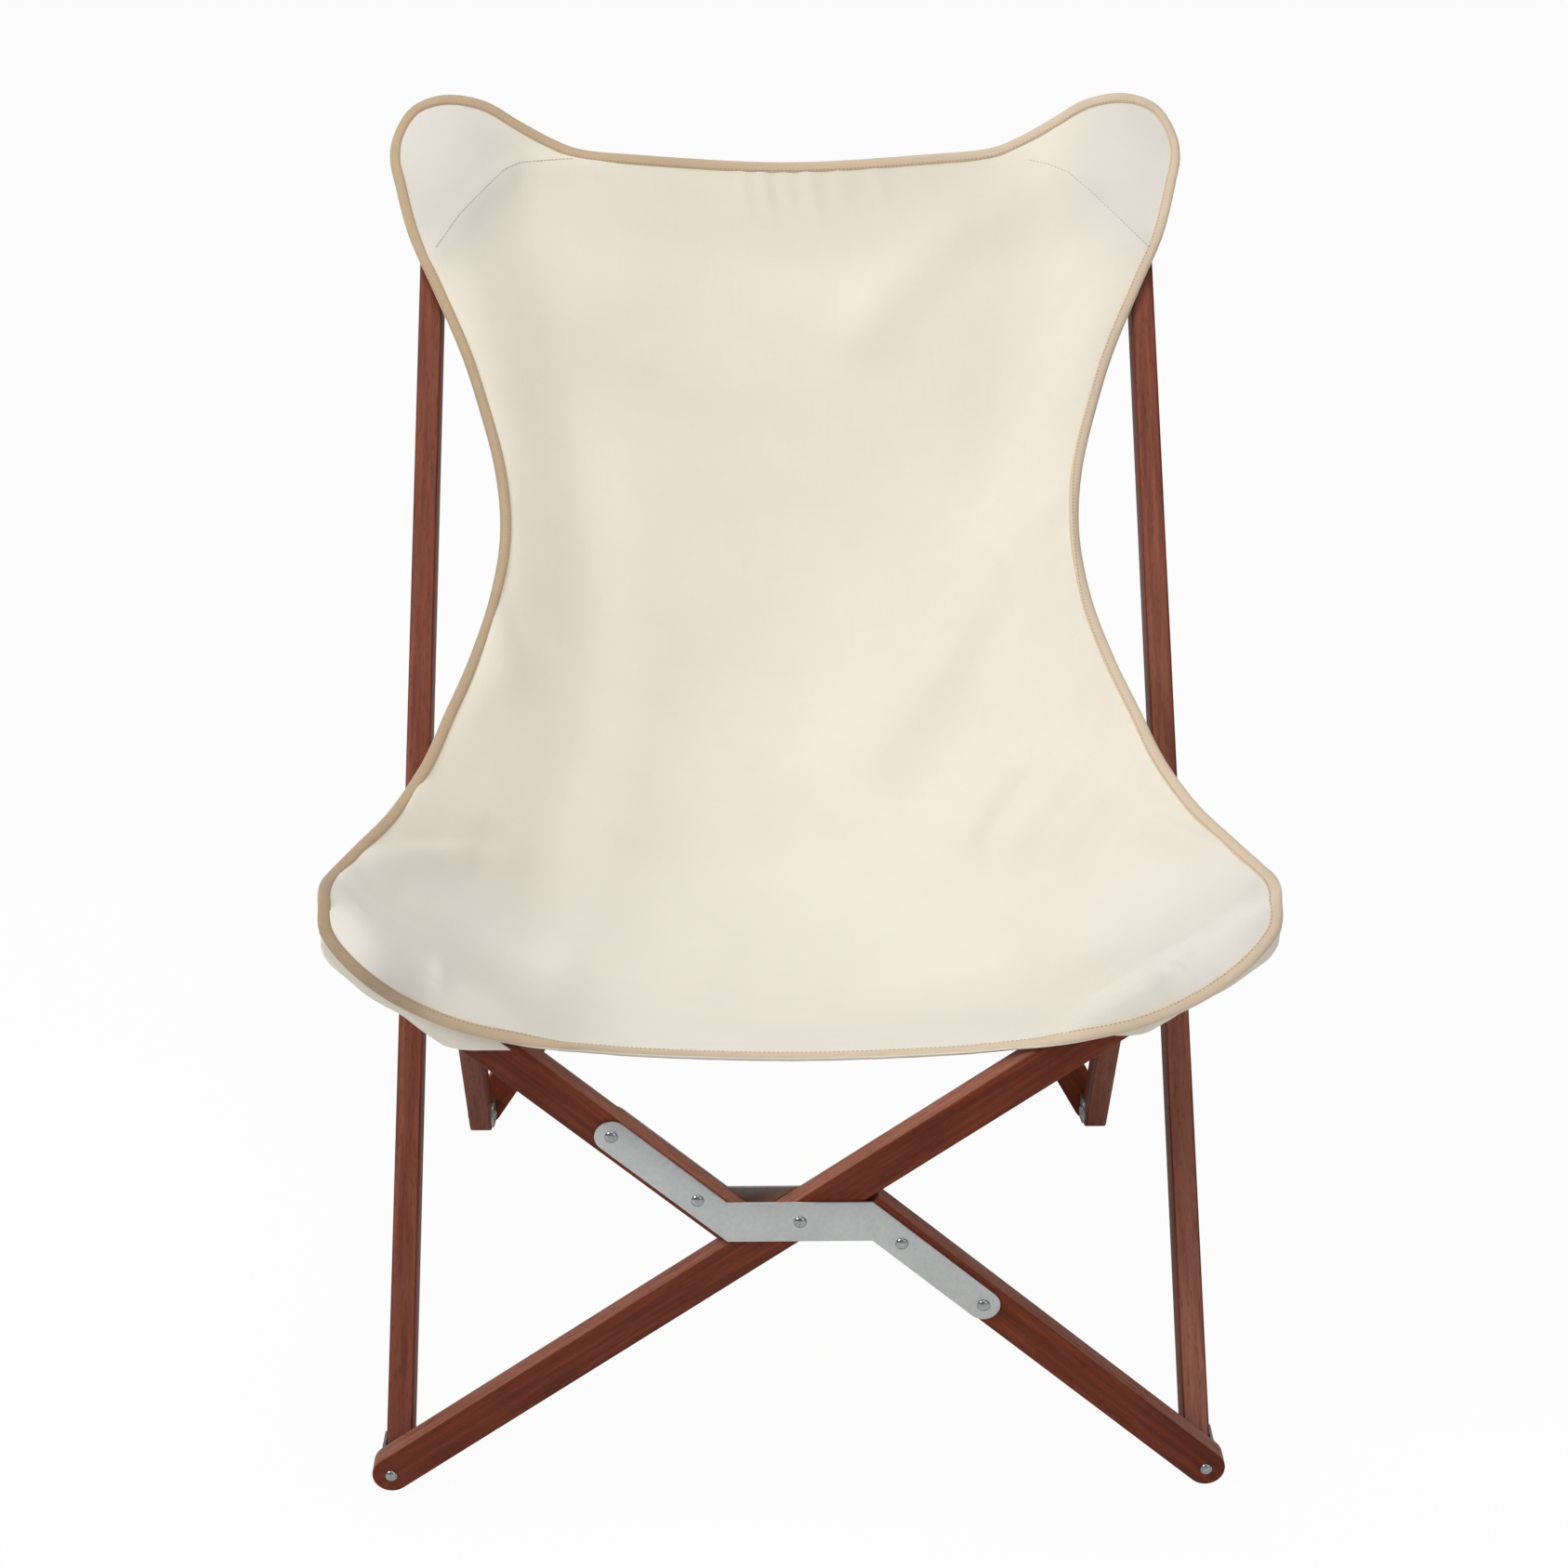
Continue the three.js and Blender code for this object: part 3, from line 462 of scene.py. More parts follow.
# Painted sheen on the narrow faces, from the light on each stick: how pale they are at the lower and at the
# upper end, where they differ from the rest.
NARROW_FACE_SHEEN = {"side_stick_left": (0.45, 0.3), "side_stick_right": (1.28, 0.1),
              "back_strut_left": (0.5, 0.5), "back_strut_right": (0.7, 0.7)}
USUAL_NARROW_FACE_SHEEN = (1.15, 1.15)
# From one stick to the next, the grain is read from another place, this many metres on.
GRAIN_STEP = vec(1.37, 0.41, 0.23)
# Edges sharper than so many degrees stay sharp.
CREASE, POCKET_CREASE = 35, 60


def add_stick(key, name, body, origin, along, across, start, end, round_start=True, offset=0.0):
    """One wooden stick, kept in sticks under its key."""
    outline = lambda inset: stick_outline(start, end, round_start, inset)
    local, faces = slab_mesh(outline, STICK_THICK, EDGE_ROUND)
    normal = np.cross(along, across)
    points = origin + local[:, :1] * along + (local[:, 1:2] + offset) * across + local[:, 2:] * normal
    piece = make_piece(name + "_wood", points, faces, WOOD)
    store_vectors(piece.data, "stick_space", local * MM + GRAIN_STEP * len(sticks))
    # Painted sheen on the narrow faces, changing along the stick.
    low, high = NARROW_FACE_SHEEN.get(name, USUAL_NARROW_FACE_SHEEN)
    tone = low + (high - low) * (local[:, 0] - start) / (end - start)
    narrow = np.abs(local[:, 2]) < HALF_THICK - EDGE_ROUND + 0.01
    store_floats(piece.data, "narrow_face_sheen", tone * narrow)
    sharpen(piece.data, CREASE)
    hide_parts(name)
    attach(piece, body)
    sticks[key] = {"origin": origin + offset * across, "along": along, "across": across, "normal": normal,
                   "start": start, "end": end}


def cross_layout(origin, up, pivot_up, foot_x, tip_x, tip_up):
    """The straight stick's and both half sticks' lines in one cross."""
    pivot = origin + up * pivot_up
    foot_reach = math.hypot(foot_x, pivot_up)
    tip_reach = math.hypot(tip_x, tip_up - pivot_up)
    along = (X_AXIS * foot_x + up * pivot_up) / foot_reach
    across = (up * foot_x - X_AXIS * pivot_up) / foot_reach
    halves = {}
    for half, reach, run, rise, side in (("lower", foot_reach, foot_x, pivot_up, 1),
                                         ("upper", tip_reach, tip_x, tip_up - pivot_up, -1)):
        slope = math.atan2(rise, run) + math.asin(HALF_OFFSET / reach)
        direction = side * (X_AXIS * math.cos(slope) - up * math.sin(slope))
        high = side * (X_AXIS * math.sin(slope) + up * math.cos(slope))
        far = math.sqrt(reach ** 2 - HALF_OFFSET ** 2)
        halves[half] = {"slope": slope, "dir": direction, "high": high, "far": far}
    return pivot, foot_reach, tip_reach, along, across, halves


def rivet(body, node, base, out):
    """One rivet head: base on the face, out away from it."""
    rivet_heads.setdefault(body, []).append((node, base, out))


def add_cross(name, bodies, origin, up, back, pivot_up, foot_x, tip_x, tip_up, past):
    """One straight stick and two halves past it, with their plates; past lengthens the upper ends."""
    pivot, foot_reach, tip_reach, along, across, halves = cross_layout(
        origin, up, pivot_up, foot_x, tip_x, tip_up)
    straight_body, split_body = bodies
    add_stick(name + "_straight", name + "_straight_stick", straight_body, pivot, along, across,
              -foot_reach, tip_reach + past)
    for half, line in halves.items():
        stop = line["far"] + (past if half == "upper" else 0)
        add_stick(f"{name}_{half}", f"{name}_split_stick_{half}", split_body, pivot,
                  line["dir"], line["high"], HALF_START, stop, round_start=False, offset=HALF_OFFSET)
    low = HALF_OFFSET - PLATE_DROP
    places = [("pivot", pivot, straight_body)]
    for half, line in halves.items():
        for word, reach in zip(("near", "far"), PLATE_RIVETS):
            places.append((f"{half}_{word}", pivot + line["dir"] * reach + line["high"] * low, split_body))
    for word, centre, body in places:
        for side in (-1, 1):
            rivet(body, f"{name}_{word}_rivet", centre + side * PLATE_FACE * back, side * back)
    add_plates(name, split_body, pivot, up, back, halves)


def plate_outline(halves, up, inset):
    """Z plate: two arms along the half sticks, joined by a level middle."""
    half = PLATE_ARM / 2 - inset
    middle = PLATE_HALF_HEIGHT - inset
    low = HALF_OFFSET - PLATE_DROP
    steps = 14
    points = []
    for sign, line in ((1, halves["lower"]), (-1, halves["upper"])):
        bend = lambda edge, level: (edge - level * middle * math.cos(line["slope"])) / math.sin(line["slope"])
        points.append((sign * bend(low + half, 1), sign * middle))
        for k in range(steps + 1):
            turn = math.pi / 2 - k * math.pi / steps
            reach, high = PLATE_RIVETS[1] + half * math.cos(turn), low + half * math.sin(turn)
            place = line["dir"] * reach + line["high"] * high
            points.append((float(place @ X_AXIS), float(place @ up)))
        points.append((sign * bend(low - half, -1), -sign * middle))
    return points[::-1]


def add_plates(name, body, pivot, up, back, halves):
    """The cross's front and rear Z plates."""
    for word, side in (("front", -1), ("rear", 1)):
        local, faces = slab_mesh(lambda inset: plate_outline(halves, up, inset), PLATE_THICK, PLATE_EASE, 3)
        centre = pivot + side * (PLATE_FACE - PLATE_THICK / 2) * back
        normal = np.cross(X_AXIS, up)
        points = centre + local[:, :1] * X_AXIS + local[:, 1:2] * up + local[:, 2:] * normal
        piece = make_piece(f"{name}_plate_{word}_zinc", points, faces, ZINC)
        sharpen(piece.data, CREASE)
        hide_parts(f"{name}_plate_{word}")
        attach(piece, body)


def build_frame():
    """Both crosses, the side sticks and the struts, and where the rivets between them go."""
    front_face, back_face = FRONT_BACK * (LAYER + HALF_THICK), BACK_BACK * (BACK_LAYER + HALF_THICK)
    add_cross("front_cross", ("front_straight", "front_split"), FRONT_FOOT - FRONT_BACK * LAYER,
              FRONT_UP, FRONT_BACK, FRONT_PIVOT_UP, FRONT_RIVET_X, FRONT_TIP_X,
              FRONT_PIVOT_UP * (1 + FRONT_TIP_X / FRONT_RIVET_X), 0.0)
    add_cross("back_cross", ("back_straight", "back_split"), BACK_FOOT + BACK_BACK * BACK_LAYER,
              BACK_UP, BACK_BACK, BACK_RISE * BACK_RIVET_X / (BACK_RIVET_X + FRONT_RIVET_X),
              BACK_RIVET_X, FRONT_RIVET_X, BACK_RISE, TOP_TIP_PAST)
    side_outer, side_inner = SIDE_PLANE + HALF_THICK, SIDE_PLANE - HALF_THICK
    strut_outer, strut_inner = STRUT_PLANE + HALF_THICK, STRUT_PLANE - HALF_THICK
    for word, sign, back_body, top_body in (("left", -1, "back_straight", "top_corner_left"),
                                            ("right", 1, "back_split", "back_straight")):
        at = lambda p, x: vec(sign * x, p[1], p[2])
        for key, name, plane, foot, head in (("side", "side_stick", SIDE_PLANE, FRONT_FOOT, TOP),
                                             ("strut", "back_strut", STRUT_PLANE, BACK_FOOT, STRUT_HINGE)):
            along = unit(head - foot)
            add_stick(f"{key}_{word}", f"{name}_{word}", f"{key}_{word}", at(foot, plane),
                      along, vec(0, along[2], -along[1]), 0.0, float(np.linalg.norm(head - foot)))
        for body, node, place, outer, inner in (
                ("side", "front_foot_side", FRONT_FOOT, side_outer + BRACKET_LEG, side_inner),
                ("side", "top_side", TOP, side_outer + BRACKET_LEG, side_inner),
                ("side", "strut_hinge", STRUT_HINGE, side_outer, strut_inner),
                ("strut", "back_foot_side", BACK_FOOT, strut_outer, strut_inner - BRACKET_LEG)):
            rivet(f"{body}_{word}", f"{node}_rivet_{word}", at(place, outer), sign * X_AXIS)
            rivet(f"{body}_{word}", f"{node}_rivet_{word}", at(place, inner), -sign * X_AXIS)
        rivet(f"front_foot_{word}", f"front_foot_cross_rivet_{word}",
              at(FRONT_FOOT, FRONT_RIVET_X) - front_face, -FRONT_BACK)
        rivet(back_body, f"back_foot_cross_rivet_{word}", at(BACK_FOOT, BACK_RIVET_X) + back_face, BACK_BACK)
        rivet(top_body, f"top_cross_rivet_{word}", at(TOP, FRONT_RIVET_X) + back_face, BACK_BACK)


# Repeated small pieces.
def aligned_instances(tree, start, end, shape, first, second=None):
    """Places shape on every point, its Z along one stored vector and its X along another."""
    nodes = tree.nodes
    put = nodes.new("GeometryNodeInstanceOnPoints")
    link(tree, start.outputs["Geometry"], put.inputs["Points"])
    link(tree, shape, put.inputs["Instance"])
    rotation = None
    for axis, name in (("Z", first), ("X", second)):
        if name is None:
            continue
        read = nodes.new("GeometryNodeInputNamedAttribute")
        read.data_type = "FLOAT_VECTOR"
        read.inputs["Name"].default_value = name
        turn = nodes.new("FunctionNodeAlignRotationToVector")
        turn.axis = axis
        if axis == "X":
            turn.pivot_axis = "Z"
        link(tree, read.outputs["Attribute"], turn.inputs["Vector"])
        if rotation is not None:
            link(tree, rotation, turn.inputs["Rotation"])
        rotation = turn.outputs["Rotation"]
    link(tree, rotation, put.inputs["Rotation"])
    real = nodes.new("GeometryNodeRealizeInstances")
    paint = nodes.new("GeometryNodeSetMaterial")
    smooth = nodes.new("GeometryNodeSetShadeSmooth")
    link(tree, put.outputs["Instances"], real.inputs["Geometry"])
    link(tree, real.outputs["Geometry"], smooth.inputs["Geometry"])
    link(tree, smooth.outputs["Geometry"], paint.inputs["Geometry"])
    link(tree, start.outputs["Material"], paint.inputs["Material"])
    link(tree, paint.outputs["Geometry"], end.inputs["Geometry"])


def bead_tree(name, sizes, axes, segments, rings, second=None):
    """A ball on each point, stretched to named sizes along its own axes: X along second, Z along out."""
    tree, start, end = new_group(
        "GeometryNodeTree", name,
        [("Geometry", "NodeSocketGeometry", None)]
        + [(label, "NodeSocketFloat", value) for label, value in sizes]
        + [("Material", "NodeSocketMaterial", None)],
        [("Geometry", "NodeSocketGeometry")])
    ball = tree.nodes.new("GeometryNodeMeshUVSphere")
    for label, value in (("Segments", segments), ("Rings", rings), ("Radius", 1.0)):
        ball.inputs[label].default_value = value
    shape = tree.nodes.new("GeometryNodeTransform")
    size = tree.nodes.new("ShaderNodeCombineXYZ")
    for axis, label in enumerate(axes):
        link(tree, start.outputs[label], size.inputs[axis])
    link(tree, ball.outputs["Mesh"], shape.inputs["Geometry"])
    link(tree, size.outputs[0], shape.inputs["Scale"])
    aligned_instances(tree, start, end, shape.outputs["Geometry"], "out", second)
    return tree


def dome_tree():
    """A low round rivet head on each point."""
    return bead_tree("rivet_heads", [("Radius", RIVET_HEAD * MM), ("Rise", RIVET_RISE * MM)],
                     axes=("Radius", "Radius", "Rise"), segments=24, rings=12)


def stitch_tree():
    """A short rounded stitch on each point, laid along the seam."""
    return bead_tree("stitches", [("Half length", STITCH_HALF * MM), ("Thread", STITCH_THREAD * MM)],
                     axes=("Half length", "Thread", "Thread"), segments=6, rings=5, second="run")


def grow(name, tree, points, vectors, values):
    """Runs a tree on loose points and returns the plain mesh piece."""
    mesh = bpy.data.meshes.new(name + "_points")
    mesh.from_pydata(to_metres(points).tolist(), [], [])
    for label, rows in vectors.items():
        store_vectors(mesh, label, rows)
    seed = bpy.data.objects.new(name + "_points", mesh)
    bpy.context.collection.objects.link(seed)
    modifier = seed.modifiers.new("grow", "NODES")
    modifier.node_group = tree
    for item in tree.interface.items_tree:
        if item.item_type == "SOCKET" and item.in_out == "INPUT" and item.name in values:
            modifier[item.identifier] = values[item.name]
    bpy.context.view_layer.update()
    graph = bpy.context.evaluated_depsgraph_get()
    real = bpy.data.meshes.new_from_object(seed.evaluated_get(graph))
    bpy.data.objects.remove(seed)
    piece = bpy.data.objects.new(name, real)
    bpy.context.collection.objects.link(piece)
    return piece


def build_rivets():
    tree = dome_tree()
    for body, heads in rivet_heads.items():
        nodes, points, outs = zip(*heads)
        piece = grow(f"{body}_rivet_heads", tree, points, {"out": outs}, {"Material": RIVET})
        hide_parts(*sorted(set(nodes)))
        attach(piece, body)


def plate_brackets():
    """The angle brackets are shown as they are in the frame, in zinc."""
    for node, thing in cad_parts.items():
        if "bracket" in node:
            thing.data.materials.clear()
            thing.data.materials.append(ZINC)


# The sling: points of its edges on the right half in frame millimetres, from the middle of the top to its
# corner, from there down the side to the front tip, and from the middle of the front to that tip.
TOP_EDGE = [
    (0, 719, 881.9), (125.5, 723, 887.7), (185.1, 731, 891.8), (207.1, 737, 898.9), (238.8, 741, 915.3),
    (269.1, 743, 932.6), (306.2, 744, 937.8), (334.8, 741, 927.2)]
SIDE_EDGE = [
    (334.8, 741, 927.2), (350, 726, 904.9), (352.2, 708, 887), (346.5, 686, 869.7), (332.6, 650, 831.9),
    (309.4, 619, 788.9), (284.1, 584, 740.9), (267.9, 553, 701.1), (254.1, 517, 662.1), (247.8, 485, 630.1),
    (247.5, 458, 606), (254.5, 414, 572.2), (269.5, 360, 538.7), (285.2, 308, 514), (298.6, 253, 494.3),
    (318.3, 190, 480.4), (339.6, 130, 476), (350.2, 69, 483.3), (350.6, 10, 498.4), (345.4, -38, 503.8)]
FRONT_EDGE = [
    (0, -14, 365), (116, -30, 377.6), (158.1, -45, 389.4), (175.6, -58, 397.5), (204.2, -62, 403.4),
    (249.5, -64, 416.6), (293.1, -68, 441.2), (325.2, -68, 470.2), (340.8, -64, 492.9), (345.4, -38, 503.8)]
SEAT_SAG = 34.0
# Cells of the cloth, how far down it starts to bend over the front sticks, and how many rows lead up to that.
ACROSS, DOWN = 150, 170
FRONT_BAND, FRONT_APPROACH = 0.82, 14
# Over the front sticks: room above them, and before and behind them; how far past their tips the bend goes;
# and where it comes in and goes out again, by distance from the chair's middle.
DRAPE_ABOVE, DRAPE_STAND, DRAPE_PAST = 2.6, 3.2, 6
DRAPE_IN, DRAPE_OUT = (140, 186), (326, 347)
# Shares of the bend at which the cloth starts, is just behind the sticks, just before them and at its edge.
DRAPE_STOPS = (0.0, 0.66, 0.82, 1.0)
# Room round the sticks, more where a sleeve's wall lies between a front stick and the cloth.
CLOTH_ROOM = CANVAS_THICK / 2 + 0.9
SLEEVE_ROOM = 1.8
# How much of a front stick's lower end the cloth leaves out; the least rise of a way out, which else goes
# straight up; and how square to a wide face a way out is to be measured through the stick's thickness.
LOWER_END, LEAST_RISE, SQUARE_ON = 60, 0.2, 0.9
# How often the cloth is pushed clear of the sticks, and evened each time.
SETTLE_TURNS, EVEN_TURNS = 6, 10
# The cloth at the right front tip: its middle, the way it faces, and how far from there it turns so.
TIP_PLACE, TIP_FACING, TIP_REACH = (333, -57, 503), (0, -0.8, 0.6), (26, 100)


def smooth_path(points, count, before, after):
    """Centripetal spline through the points, sampled evenly; before and after lie past its ends."""
    p = np.vstack([before, points, after]).astype(float)
    dense = []
    for i in range(1, len(p) - 2):
        knots = [0.0]
        for k in range(3):
            knots.append(knots[-1] + math.sqrt(np.linalg.norm(p[i + k] - p[i + k - 1])))
        t = np.linspace(knots[1], knots[2], 40, endpoint=False)[:, None]
        lerp = lambda a, b, ta, tb: a * (tb - t) / (tb - ta) + b * (t - ta) / (tb - ta)
        a = [lerp(p[i + k - 1], p[i + k], knots[k], knots[k + 1]) for k in range(3)]
        b = [lerp(a[k], a[k + 1], knots[k], knots[k + 2]) for k in range(2)]
        dense.append(lerp(b[0], b[1], knots[1], knots[2]))
    dense = np.vstack(dense + [p[-2:-1]])
    lengths = run_lengths(dense)
    return at_lengths(dense, lengths, np.linspace(0, lengths[-1], count))


def smoothstep(x, a, b):
    """From 0 at a to 1 at b, eased at both ends."""
    t = np.clip((x - a) / (b - a), 0, 1)
    return t * t * (3 - 2 * t)


def sling_patch():
    """The cloth's middle surface: a patch stretched between its four edges, with the seat's sag."""
    mirror = lambda points: [(-x, y, z) for x, y, z in points]
    across = lambda half, past: smooth_path(mirror(half[1:])[::-1] + half, ACROSS + 1, *mirror([past]), past)
    top, front = across(TOP_EDGE, SIDE_EDGE[1]), across(FRONT_EDGE, SIDE_EDGE[-2])
    right = smooth_path(SIDE_EDGE, DOWN + 1, TOP_EDGE[-2], FRONT_EDGE[-2])
    left = right * vec(-1, 1, 1)
    u = np.linspace(0, 1, ACROSS + 1)[None, :, None]
    v = np.linspace(0, 1, DOWN + 1)[:, None, None]
    patch = (1 - v) * top[None] + v * front[None] + (1 - u) * left[:, None] + u * right[:, None]
    patch -= (1 - v) * ((1 - u) * left[0] + u * right[0]) + v * ((1 - u) * left[-1] + u * right[-1])
    patch[..., 2] -= (SEAT_SAG * np.sin(np.pi * v) * (1 - (2 * u - 1) ** 2))[..., 0]
    return drape_front(patch, front)


def drape_front(patch, front):
    """Lays the cloth over the front sticks: from behind, across their top edges and down before them."""
    base = patch.copy()
    row = int(FRONT_BAND * DOWN)
    slope = FRONT_PIVOT_UP / FRONT_RIVET_X
    over = HALF_WIDTH / math.cos(math.atan(slope)) + DRAPE_ABOVE
    plane = FRONT_FOOT - FRONT_BACK * LAYER
    x = np.abs(front[:, 0])
    height = FRONT_PIVOT_UP + slope * np.minimum(x, FRONT_TIP_X) + over
    stand = HALF_THICK + DRAPE_STAND
    ridge = [plane + FRONT_UP * height[:, None] + FRONT_BACK * off for off in (stand, -stand)]
    for points in ridge:
        points[:, 0] = np.clip(front[:, 0], -FRONT_TIP_X - DRAPE_PAST, FRONT_TIP_X + DRAPE_PAST)
    controls = [base[row - FRONT_APPROACH], base[row], *ridge, front, 2 * front - ridge[1]]
    side = smoothstep(x, *DRAPE_IN) * (1 - smoothstep(x, *DRAPE_OUT))
    for j in range(row, DOWN + 1):
        t = (j - row) / (DOWN - row)
        k = max(i for i in range(3) if t >= DRAPE_STOPS[i])
        f = (t - DRAPE_STOPS[k]) / (DRAPE_STOPS[k + 1] - DRAPE_STOPS[k])
        a, b, c, d = controls[k:k + 4]
        bend = (c - a) * f + (2 * a - 5 * b + 4 * c - d) * f ** 2 + (3 * b - 3 * c + d - a) * f ** 3
        patch[j] = base[j] + (b + bend / 2 - base[j]) * side[:, None]
    return patch


def push_clear(patch):
    """Moves cloth points out of the sticks, to the side the cloth lies on."""
    flat = patch.reshape(-1, 3)
    # Each stick's way out, or None for up and away from its middle.
    for name, out in (("front_cross_straight", None), ("front_cross_upper", None), ("side_left", SIDE_OUT),
                      ("side_right", SIDE_OUT), ("back_cross_straight", -BACK_BACK),
                      ("back_cross_upper", -BACK_BACK)):
        stick = sticks[name]
        d = flat - stick["origin"]
        low = stick["start"] + (LOWER_END if out is None else 0)
        a = np.clip(d @ stick["along"], low, stick["end"])
        off = d - a[:, None] * stick["along"]
        depth = off @ stick["normal"]
        radial = off - depth[:, None] * stick["normal"]
        far = np.linalg.norm(radial, axis=1)
        room = CLOTH_ROOM + (SLEEVE_ROOM if out is None else 0)
        inside = (far < HALF_WIDTH + room) & (np.abs(depth) < HALF_THICK + room)
        if out is None:
            way = radial / np.maximum(far, 1e-6)[:, None]
            way[way[:, 2] < LEAST_RISE] = FRONT_UP
            reach = HALF_WIDTH + room - far
        elif abs(out @ stick["normal"]) > SQUARE_ON:
            way = out
            reach = HALF_THICK + room - depth * np.sign(out @ stick["normal"])
        else:
            way = out
            reach = np.maximum(HALF_WIDTH + room - off @ out, 0)
        flat += way * np.where(inside, reach, 0)[:, None]
    return flat.reshape(patch.shape)


def relax(patch, turns, share=0.5):
    """Evens the cloth between its fixed edges."""
    for _ in range(turns):
        mean = (patch[:-2, 1:-1] + patch[2:, 1:-1] + patch[1:-1, :-2] + patch[1:-1, 2:]) / 4
        patch[1:-1, 1:-1] += (mean - patch[1:-1, 1:-1]) * share
    return patch


def ease_corners(patch, size=26, turns=160):
    """Evens the cells at the four corners, where two edges run on in one smooth curve."""
    for rows in (slice(0, size), slice(-size, None)):
        for columns in (slice(0, size), slice(-size, None)):
            patch[rows, columns] = relax(patch[rows, columns].copy(), turns)
    return patch


def face_tips(patch):
    """Turns the cloth at each front tip towards the viewer, round and flat beyond the stick's end."""
    facing = unit(vec(*TIP_FACING))
    for sign in (-1, 1):
        tip = vec(sign, 1, 1) * TIP_PLACE
        toward = unit(vec(*EYE) - tip)
        hold = 1 - smoothstep(np.linalg.norm(patch - tip, axis=2), *TIP_REACH)
        slide = ((tip - patch) @ facing) / (toward @ facing)
        patch = patch + toward * (slide * hold)[..., None]
    return patch


def surface_normals(patch, turns=8):
    """Cloth normals, evened over neighbours so that the narrow corner cells follow the rest."""
    normal = np.cross(np.gradient(patch, axis=0), np.gradient(patch, axis=1))
    for _ in range(turns):
        wide = np.pad(normal, ((1, 1), (1, 1), (0, 0)), mode="edge")
        normal = (wide[:-2, 1:-1] + wide[2:, 1:-1] + wide[1:-1, :-2] + wide[1:-1, 2:] + 2 * normal) / 6
    return unit(normal)


# Folds of the cloth: ends in photograph pixels, falling off over so many pixels on the upper and on
# the lower side, and height in millimetres.
FOLDS = [
    (470, 265, 494, 231, 9, 16, 2.3), (494, 231, 543, 182, 8, 18, 3.2), (543, 182, 562, 175, 6, 20, 4.0),
    (562, 175, 640, 172, 5, 20, 4.3), (1238, 268, 1207, 238, 9, 16, 2.2), (1207, 238, 1150, 186, 8, 18, 2.9),
    (1150, 186, 1105, 172, 6, 20, 2.9), (366, 946, 405, 926, 12, 34, 4.0), (405, 926, 490, 918, 12, 36, 5.4),
    (490, 918, 540, 926, 16, 44, 2.6), (927, 357, 972, 297, 34, 34, 7.0), (972, 297, 1032, 252, 34, 36, 9.0),
    (1032, 252, 1125, 200, 34, 36, 7.0), (700, 385, 760, 415, 44, 32, 3.4),
    (760, 415, 850, 425, 44, 34, 2.6), (1075, 602, 1026, 702, 60, 26, 10.0),
    (1026, 702, 946, 822, 64, 28, 10.0), (1075, 602, 1122, 552, 40, 24, 6.5),
    (1090, 835, 1050, 895, 34, 13, 8.0), (1150, 838, 1100, 905, 34, 14, 8.0),
    (1188, 862, 1150, 915, 30, 12, 6.4), (1255, 890, 1290, 905, 9, 20, 5.8),
    (440, 850, 500, 880, 16, 30, 4.6), (455, 955, 600, 1040, 46, 28, 3.8), (520, 640, 545, 720, 18, 30, 3.5),
    (1160, 560, 1150, 640, 20, 14, 2.9), (1172, 1056, 1190, 1090, 13, 13, 1.8),
    (1206, 1048, 1222, 1082, 13, 13, 1.8), (1244, 1030, 1262, 1064, 14, 14, 1.8),
    (796, 183, 801, 205, 5, 5, 2.0), (818, 183, 824, 208, 5, 5, 2.2), (842, 184, 847, 205, 5, 5, 1.8),
    (868, 184, 875, 212, 6, 6, 2.3), (900, 184, 908, 206, 6, 6, 1.8), (940, 182, 948, 204, 6, 6, 1.6)]
# How far a fold runs out past the end of its line, in pixels, and how many cells at the edges stay put.
FOLD_END = 26.0
EDGE_CELLS = 3
# Where the cloth looks greyer, over its pockets and on the seat: middle and reach in photograph pixels, and
# how much.
PALE = [(385, 985, 165, 95, 1.0), (1330, 985, 165, 95, 1.0), (478, 180, 95, 120, 1.0),
        (1222, 180, 90, 120, 1.0), (850, 1040, 560, 200, 0.8)]
# Painted shade where it looks darker, and painted light below nought, given in the same way.
PAINTED_SHADE_AND_LIGHT = [(478, 180, 95, 120, 0.14), (1222, 180, 90, 120, 0.07), (620, 290, 170, 190, 0.08),
          (900, 220, 330, 75, 0.08), (510, 970, 150, 90, 0.05), (500, 760, 75, 230, -0.07),
          (375, 985, 110, 80, -0.07)]
# The same for the tape: a painted highlight that makes it greyer along the front, and painted shade on the
# left.
TAPE_PAINTED_HIGHLIGHT = [(850, 1085, 420, 70, 1.0)]
TAPE_PAINTED_SHADE = [(410, 1010, 130, 90, 0.18), (520, 560, 90, 300, 0.07)]
# A spot fades out between these shares of its reach.
SPOT_FADE = (0.4, 1.2)
# Seams that hold the pockets behind the top corners, as they run in the photograph, and their stitches'
# pitch in its pixels.
SEAMS = [[(470, 265), (494, 231), (520, 204), (543, 182), (559, 175), (594, 172), (616, 171)],
         [(1238, 268), (1207, 238), (1178, 210), (1150, 186), (1128, 177), (1105, 172)]]
SEAM_PITCH = 4.0


def fold_shape(pixels, x0, y0, x1, y1, above, below):
    """A fold's height from 0 to 1: 1 on its line, falling off on both sides and past the ends."""
    start, run = vec(x0, y0), vec(x1 - x0, y1 - y0)
    long = np.linalg.norm(run)
    run = run / long
    upward = vec(run[1], -run[0]) if run[0] > 0 else vec(-run[1], run[0])
    off = pixels - start
    along, side = off @ run, off @ upward
    past = np.maximum(np.maximum(-along, along - long), 0)
    return np.exp(-(side / np.where(side > 0, above, below)) ** 2 - (past / FOLD_END) ** 2)


